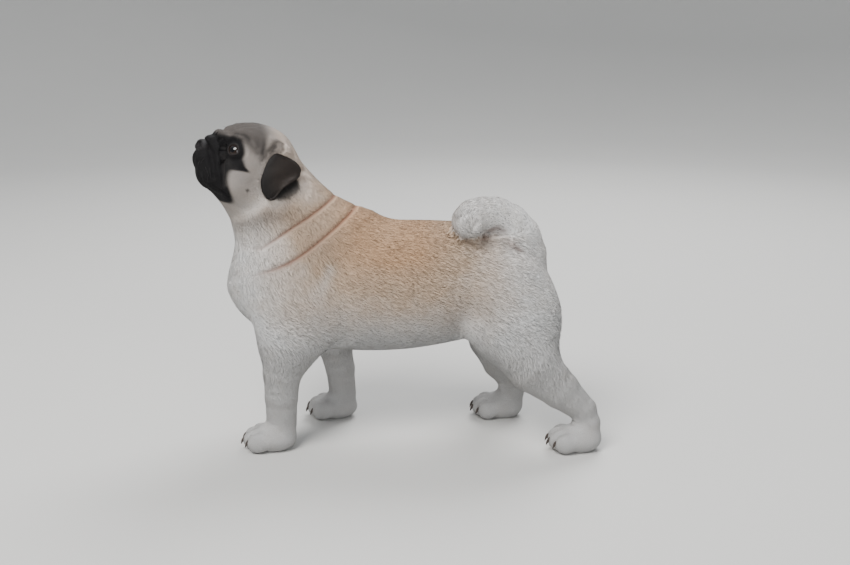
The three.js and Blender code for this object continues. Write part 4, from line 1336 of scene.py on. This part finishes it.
class PUG_OT_coat(PugOperator):
    """Lays short overlapping tufts over the skin and the ears, along the lie of the coat"""

    bl_idname = "pug.coat"
    bl_label = "Coat"

    def build(self, coat, head, stage):
        rng = np.random.default_rng(coat.seed)
        self.cover_skin(coat, rng)
        velvet = velvet_finish(coat)
        for name, side in SIDES.items():
            self.cover_ear(name, side, coat, rng, velvet)

    def cover_skin(self, coat, rng):
        roots = self.roots(bpy.data.objects["skin"], rng, lambda p: tuft_length(p, coat), coat)
        place = roots[0]
        left = np.ones(len(place), bool)
        h = HEAD.inside(place)
        fur = fur_finish(coat)
        for name, inside in COAT_PIECES.items():
            mine = np.flatnonzero(left & inside(place, h))
            left[mine] = False
            for i, part in enumerate(np.array_split(mine, -(-len(mine) // LARGEST_COAT_PIECE))):
                root, normal, where = (values[part] for values in roots)
                length = tuft_length(root, coat)
                colours = {"markings": markings(root)}
                way = lie(root, normal)
                piece = self.tufts(f"{name}_{i + 1}", root, normal, way, length, where, colours, coat, rng)
                # The rear pieces get the same fawn fur finish as the others
                finished(piece, fur)

    def cover_ear(self, name, side, coat, rng, velvet):
        short = 1.2 * coat.face_length / MM
        flap = bpy.data.objects[f"ear_flap_{name}"]
        root, normal, where = self.roots(flap, rng, lambda p: np.full(len(p), short), coat)
        down = HEAD.turned(np.array([0.15, 0.2 * side, -1.0]))
        way = unit(down - normal * (normal @ down)[:, None])
        length = np.full(len(root), short)
        colours = {"browning": ear_browning(HEAD.inside(root))}
        piece = self.tufts(f"coat_ear_{name}", root, normal, way, length, where, colours, coat, rng)
        finished(piece, velvet)

    def roots(self, piece, rng, length_at, coat):
        """Evenly scattered roots over a piece, with the normals there and their places on its plan."""
        mesh = piece.data
        mesh.calc_loop_triangles()
        corners, loops = (np.empty(len(mesh.loop_triangles) * 3, np.int32) for _ in range(2))
        mesh.loop_triangles.foreach_get("vertices", corners)
        mesh.loop_triangles.foreach_get("loops", loops)
        corners, loops = corners.reshape(-1, 3), loops.reshape(-1, 3)
        plan = np.empty(len(mesh.loops) * 2, np.float32)
        mesh.uv_layers["Plan"].data.foreach_get("uv", plan)
        plan = plan.reshape(-1, 2)[loops]
        points = to_form(read_points(mesh))
        normals = read_points(mesh, "vertex_normals", "vector")
        a, b, c = (points[corners[:, i]] for i in range(3))
        area = np.linalg.norm(np.cross(b - a, c - a), axis=1) / 2
        centre = (a + b + c) / 3
        length = length_at(centre)
        area_of_tuft = 0.5 * length * tuft_width(length, coat)
        wanted = coat.cover * area / area_of_tuft * self.share_of_tufts(centre)
        count = np.floor(wanted + rng.random(len(wanted))).astype(int)
        triangle = np.repeat(np.arange(len(area)), count)
        share = rng.dirichlet((1, 1, 1), len(triangle))
        root = (points[corners[triangle]] * share[:, :, None]).sum(1)
        normal = unit((normals[corners[triangle]] * share[:, :, None]).sum(1))
        return root, normal, (plan[triangle] * share[:, :, None]).sum(1)

    def share_of_tufts(self, p):
        """None on the soles, under the nose or on the lids, and fewer on face and feet."""
        h = HEAD.inside(p)
        m = mirrored(h)
        share = ease(0.5, 2.5, p[:, 2]) * ease(0.0, 1.2, nose_form(h))
        look, _, _ = eye_axes()
        off = m - EYE
        toward = (off @ look) / np.maximum(np.linalg.norm(off, axis=1), 1e-6)
        near_eye = np.linalg.norm(off, axis=1) < EYE_RADIUS + 4
        share = np.where(near_eye & (toward > math.cos(EYE_OPENING[0] + 0.1)), 0, share)
        on_face = (1 - ease(0, 24, head_form(h))) * (1 - ease(10, 60, h[:, 0]))
        on_feet = 1 - ease(25, 60, p[:, 2])
        return share * (1 - 0.5 * on_face) * (1 - 0.55 * on_feet)

    def tufts(self, name, root, normal, way, length, where, colours, coat, rng):
        """Flat pointed tufts joined in one mesh, each a left, a right, a ridge and a tip corner."""
        count = len(root)
        length = length * rng.uniform(0.7, 1.15, count)
        half = tuft_width(length, coat) / 2 * rng.uniform(0.8, 1.2, count)
        side = np.cross(normal, way)
        yaw = rng.normal(0, 0.11, count)
        way = way * np.cos(yaw)[:, None] + side * np.sin(yaw)[:, None]
        side = np.cross(normal, way)
        lift = coat.lift * rng.uniform(0.5, 1.6, count) * np.clip(length / (coat.length / MM), 1, 3)
        tip = root + length[:, None] * (way * np.cos(lift)[:, None] + normal * np.sin(lift)[:, None])
        sunk = 0.08
        base = root - sunk * normal
        left = base - side * half[:, None]
        right = base + side * half[:, None]
        ridge = base + normal * (0.2 * half + sunk)[:, None] + way * (0.25 * length)[:, None]
        corners = np.stack([left, right, ridge, tip], 1).reshape(-1, 3)
        first = 4 * np.arange(count)[:, None, None]
        faces = (first + np.array([[0, 2, 3], [2, 1, 3], [1, 0, 3], [0, 1, 2]])).reshape(-1, 3)
        piece = new_piece(name, to_mesh(corners), faces)
        for layer, at_roots in colours.items():
            add_values(piece.data, layer, np.repeat(at_roots, 4, axis=0))
        own = np.repeat(rng.random(count), 4)
        # How far along the tuft each corner lies, with which the finish paints shade towards the root
        along = np.tile([0, 0, 0.45, 1.0], count)
        add_values(piece.data, "strand", np.stack([own, along, 0 * own, 1 + 0 * own], 1))
        patch = np.array([[0, 0], [0.003, 0], [0.0015, 0.0015], [0.0015, 0.003]])
        spots = np.repeat(where, 4, axis=0) + np.tile(patch, (count, 1))
        layer = piece.data.uv_layers.new(name="OFBake")
        layer.data.foreach_set("uv", spots[faces.ravel()].astype(np.float32).ravel())
        return piece


# Whiskers: where they grow on the head's right side
WHISKER_ROOTS = [(-30, 14, -28), (-27, 18, -24), (-25, 20, -33), (-20, 25, -30), (-17, 27, -38)]
WHISKER_ROOTS += [(27, 53, -36), (-10, 30, 19)]


class PUG_OT_whiskers(PugOperator):
    """Adds a few short stiff whiskers to lips, cheeks and brows"""

    bl_idname = "pug.whiskers"
    bl_label = "Whiskers"

    def build(self, coat, head, stage):
        rng = np.random.default_rng(coat.seed + 1)
        corners, faces = [], []
        for side in SIDES.values():
            for root in WHISKER_ROOTS:
                self.whisker(np.array(root, float) * (1, side, 1), side, rng, corners, faces)
        whiskers = new_piece("whiskers", to_mesh(HEAD.outside(np.vstack(corners))), np.vstack(faces))
        outward(whiskers)
        finished(whiskers, whisker_finish())

    def whisker(self, root, side, rng, corners, faces):
        """Adds one tapering whisker, whose root is first moved onto the head's surface."""
        out = np.array([-0.1, 0.75 * side, -0.25]) + rng.normal(0, 0.15, 3)
        out /= np.linalg.norm(out)
        for _ in range(6):
            root = root - head_form(root[None])[0] * out * 0.8
        t = np.linspace(0, 1, 7)[:, None]
        length = rng.uniform(12, 20)
        droop = np.array([4, 0, -3])
        path = root - out + t * length * out + t**2 * droop
        rings, triangles = loft(tube(path, 0.16 * (1 - 0.85 * t[:, 0]), 5))
        faces.append(triangles + sum(len(part) for part in corners))
        corners.append(rings)


# Stage: floor, light and camera. The floor is in metres, the camera's place and sensor in millimetres.
FLOOR_REACH = 2.6
WALL_HEIGHT = 4.5
FLOOR_CORNERS = 96
CAMERA_PLACE = np.array([30.7, -1316.8, 556.3])
CAMERA_DOWN = math.radians(14.923)
FOCAL_PIXELS, IMAGE_WIDTH, SENSOR = 1060.0, 850.0, 36.0


class PUG_OT_stage(PugOperator):
    """Sets a pale floor that runs up into a backdrop, soft studio light and the photo's camera"""

    bl_idname = "pug.stage"
    bl_label = "Stage"

    def build(self, coat, head, stage):
        self.floor(stage)
        self.lamp("key", (-1.0, -1.5, 2.5), 1.6, stage.key, (1.0, 0.985, 0.96))
        self.lamp("fill", (0.8, -2.6, 1.1), 2.0, stage.fill, (0.95, 0.975, 1.0))
        self.lamp("rim", (0.6, 1.5, 2.2), 1.6, stage.rim, (1.0, 1.0, 1.0))
        world = bpy.data.worlds.new("studio")
        world.use_nodes = True
        background = world.node_tree.nodes["Background"]
        background.inputs["Color"].default_value = (0.86, 0.92, 1.0, 1)
        background.inputs["Strength"].default_value = stage.sky
        bpy.context.scene.world = world
        self.camera()

    def floor(self, stage):
        """A round floor whose edge runs up into a wall, so that every view ends on the same pale backdrop."""
        rows = [(0.3, 0), (1.2, 0), (FLOOR_REACH, 0)]
        for angle in np.linspace(0, math.pi / 2, 13)[1:]:
            rows.append((FLOOR_REACH * (1 + math.sin(angle)), FLOOR_REACH * (1 - math.cos(angle))))
        rows.append((2 * FLOOR_REACH, WALL_HEIGHT))
        turns = np.linspace(0, 2 * math.pi, FLOOR_CORNERS, endpoint=False)
        corners = [(0, 0, 0)]
        for radius, height in rows:
            corners += [(radius * math.cos(turn), radius * math.sin(turn), height) for turn in turns]
        edges = [(1 + i, 1 + (i + 1) % FLOOR_CORNERS) for i in range(FLOOR_CORNERS)]
        faces = [(0, here, beside) for here, beside in edges]
        for row in range(len(rows) - 1):
            inner, outer = row * FLOOR_CORNERS, (row + 1) * FLOOR_CORNERS
            faces += [(inner + a, outer + a, outer + b, inner + b) for a, b in edges]
        mesh = bpy.data.meshes.new("studio_floor")
        mesh.from_pydata(corners, [], faces)
        floor = bpy.data.objects.new("studio_floor", mesh)
        bpy.context.scene.collection.objects.link(floor)
        choose(floor)
        bpy.ops.object.shade_smooth()
        mesh.materials.append(floor_finish(stage))

    def lamp(self, name, place, size, power, colour):
        light = bpy.data.lights.new(name, "AREA")
        light.shape, light.size, light.energy, light.color = "DISK", size, power, colour
        lamp = bpy.data.objects.new(name, light)
        lamp.location = place
        lamp.rotation_euler = (Vector((0, 0, 0.2)) - Vector(place)).to_track_quat("-Z", "Y").to_euler()
        bpy.context.scene.collection.objects.link(lamp)

    def camera(self):
        data = bpy.data.cameras.new("camera")
        data.lens = FOCAL_PIXELS * SENSOR / IMAGE_WIDTH
        data.sensor_width = SENSOR
        camera = bpy.data.objects.new("camera", data)
        camera.location = CAMERA_PLACE * MM
        camera.rotation_euler = (math.pi / 2 - CAMERA_DOWN, 0, 0)
        bpy.context.scene.collection.objects.link(camera)
        bpy.context.scene.camera = camera


PIECES = [
    PUG_OT_stage,
    PUG_OT_skin,
    PUG_OT_eyes,
    PUG_OT_lids,
    PUG_OT_nose,
    PUG_OT_ears,
    PUG_OT_claws,
    PUG_OT_whiskers,
    PUG_OT_coat,
]


class PUG_PT_panel(Panel):
    """Lists the steps that dress the model"""

    bl_idname = "PUG_PT_panel"
    bl_label = "Pug"
    bl_space_type = "VIEW_3D"
    bl_region_type = "UI"
    bl_category = "Pug"

    def draw(self, context):
        for piece in PIECES:
            self.layout.operator(piece.bl_idname)
        for settings in (context.scene.pug_coat, context.scene.pug_head, context.scene.pug_stage):
            box = self.layout.box()
            for name in settings.__annotations__:
                box.prop(settings, name)


SETTINGS = {"pug_coat": CoatSettings, "pug_head": HeadSettings, "pug_stage": StageSettings}
CLASSES = [*SETTINGS.values(), *PIECES, PUG_PT_panel]


def register():
    for item in CLASSES:
        bpy.utils.register_class(item)
    for name, settings in SETTINGS.items():
        setattr(bpy.types.Scene, name, PointerProperty(type=settings))


def unregister():
    for name in SETTINGS:
        delattr(bpy.types.Scene, name)
    for item in reversed(CLASSES):
        bpy.utils.unregister_class(item)


def main():
    register()
    for piece in PIECES:
        space, name = piece.bl_idname.split(".")
        getattr(getattr(bpy.ops, space), name)()


if __name__ == "__main__":
    main()
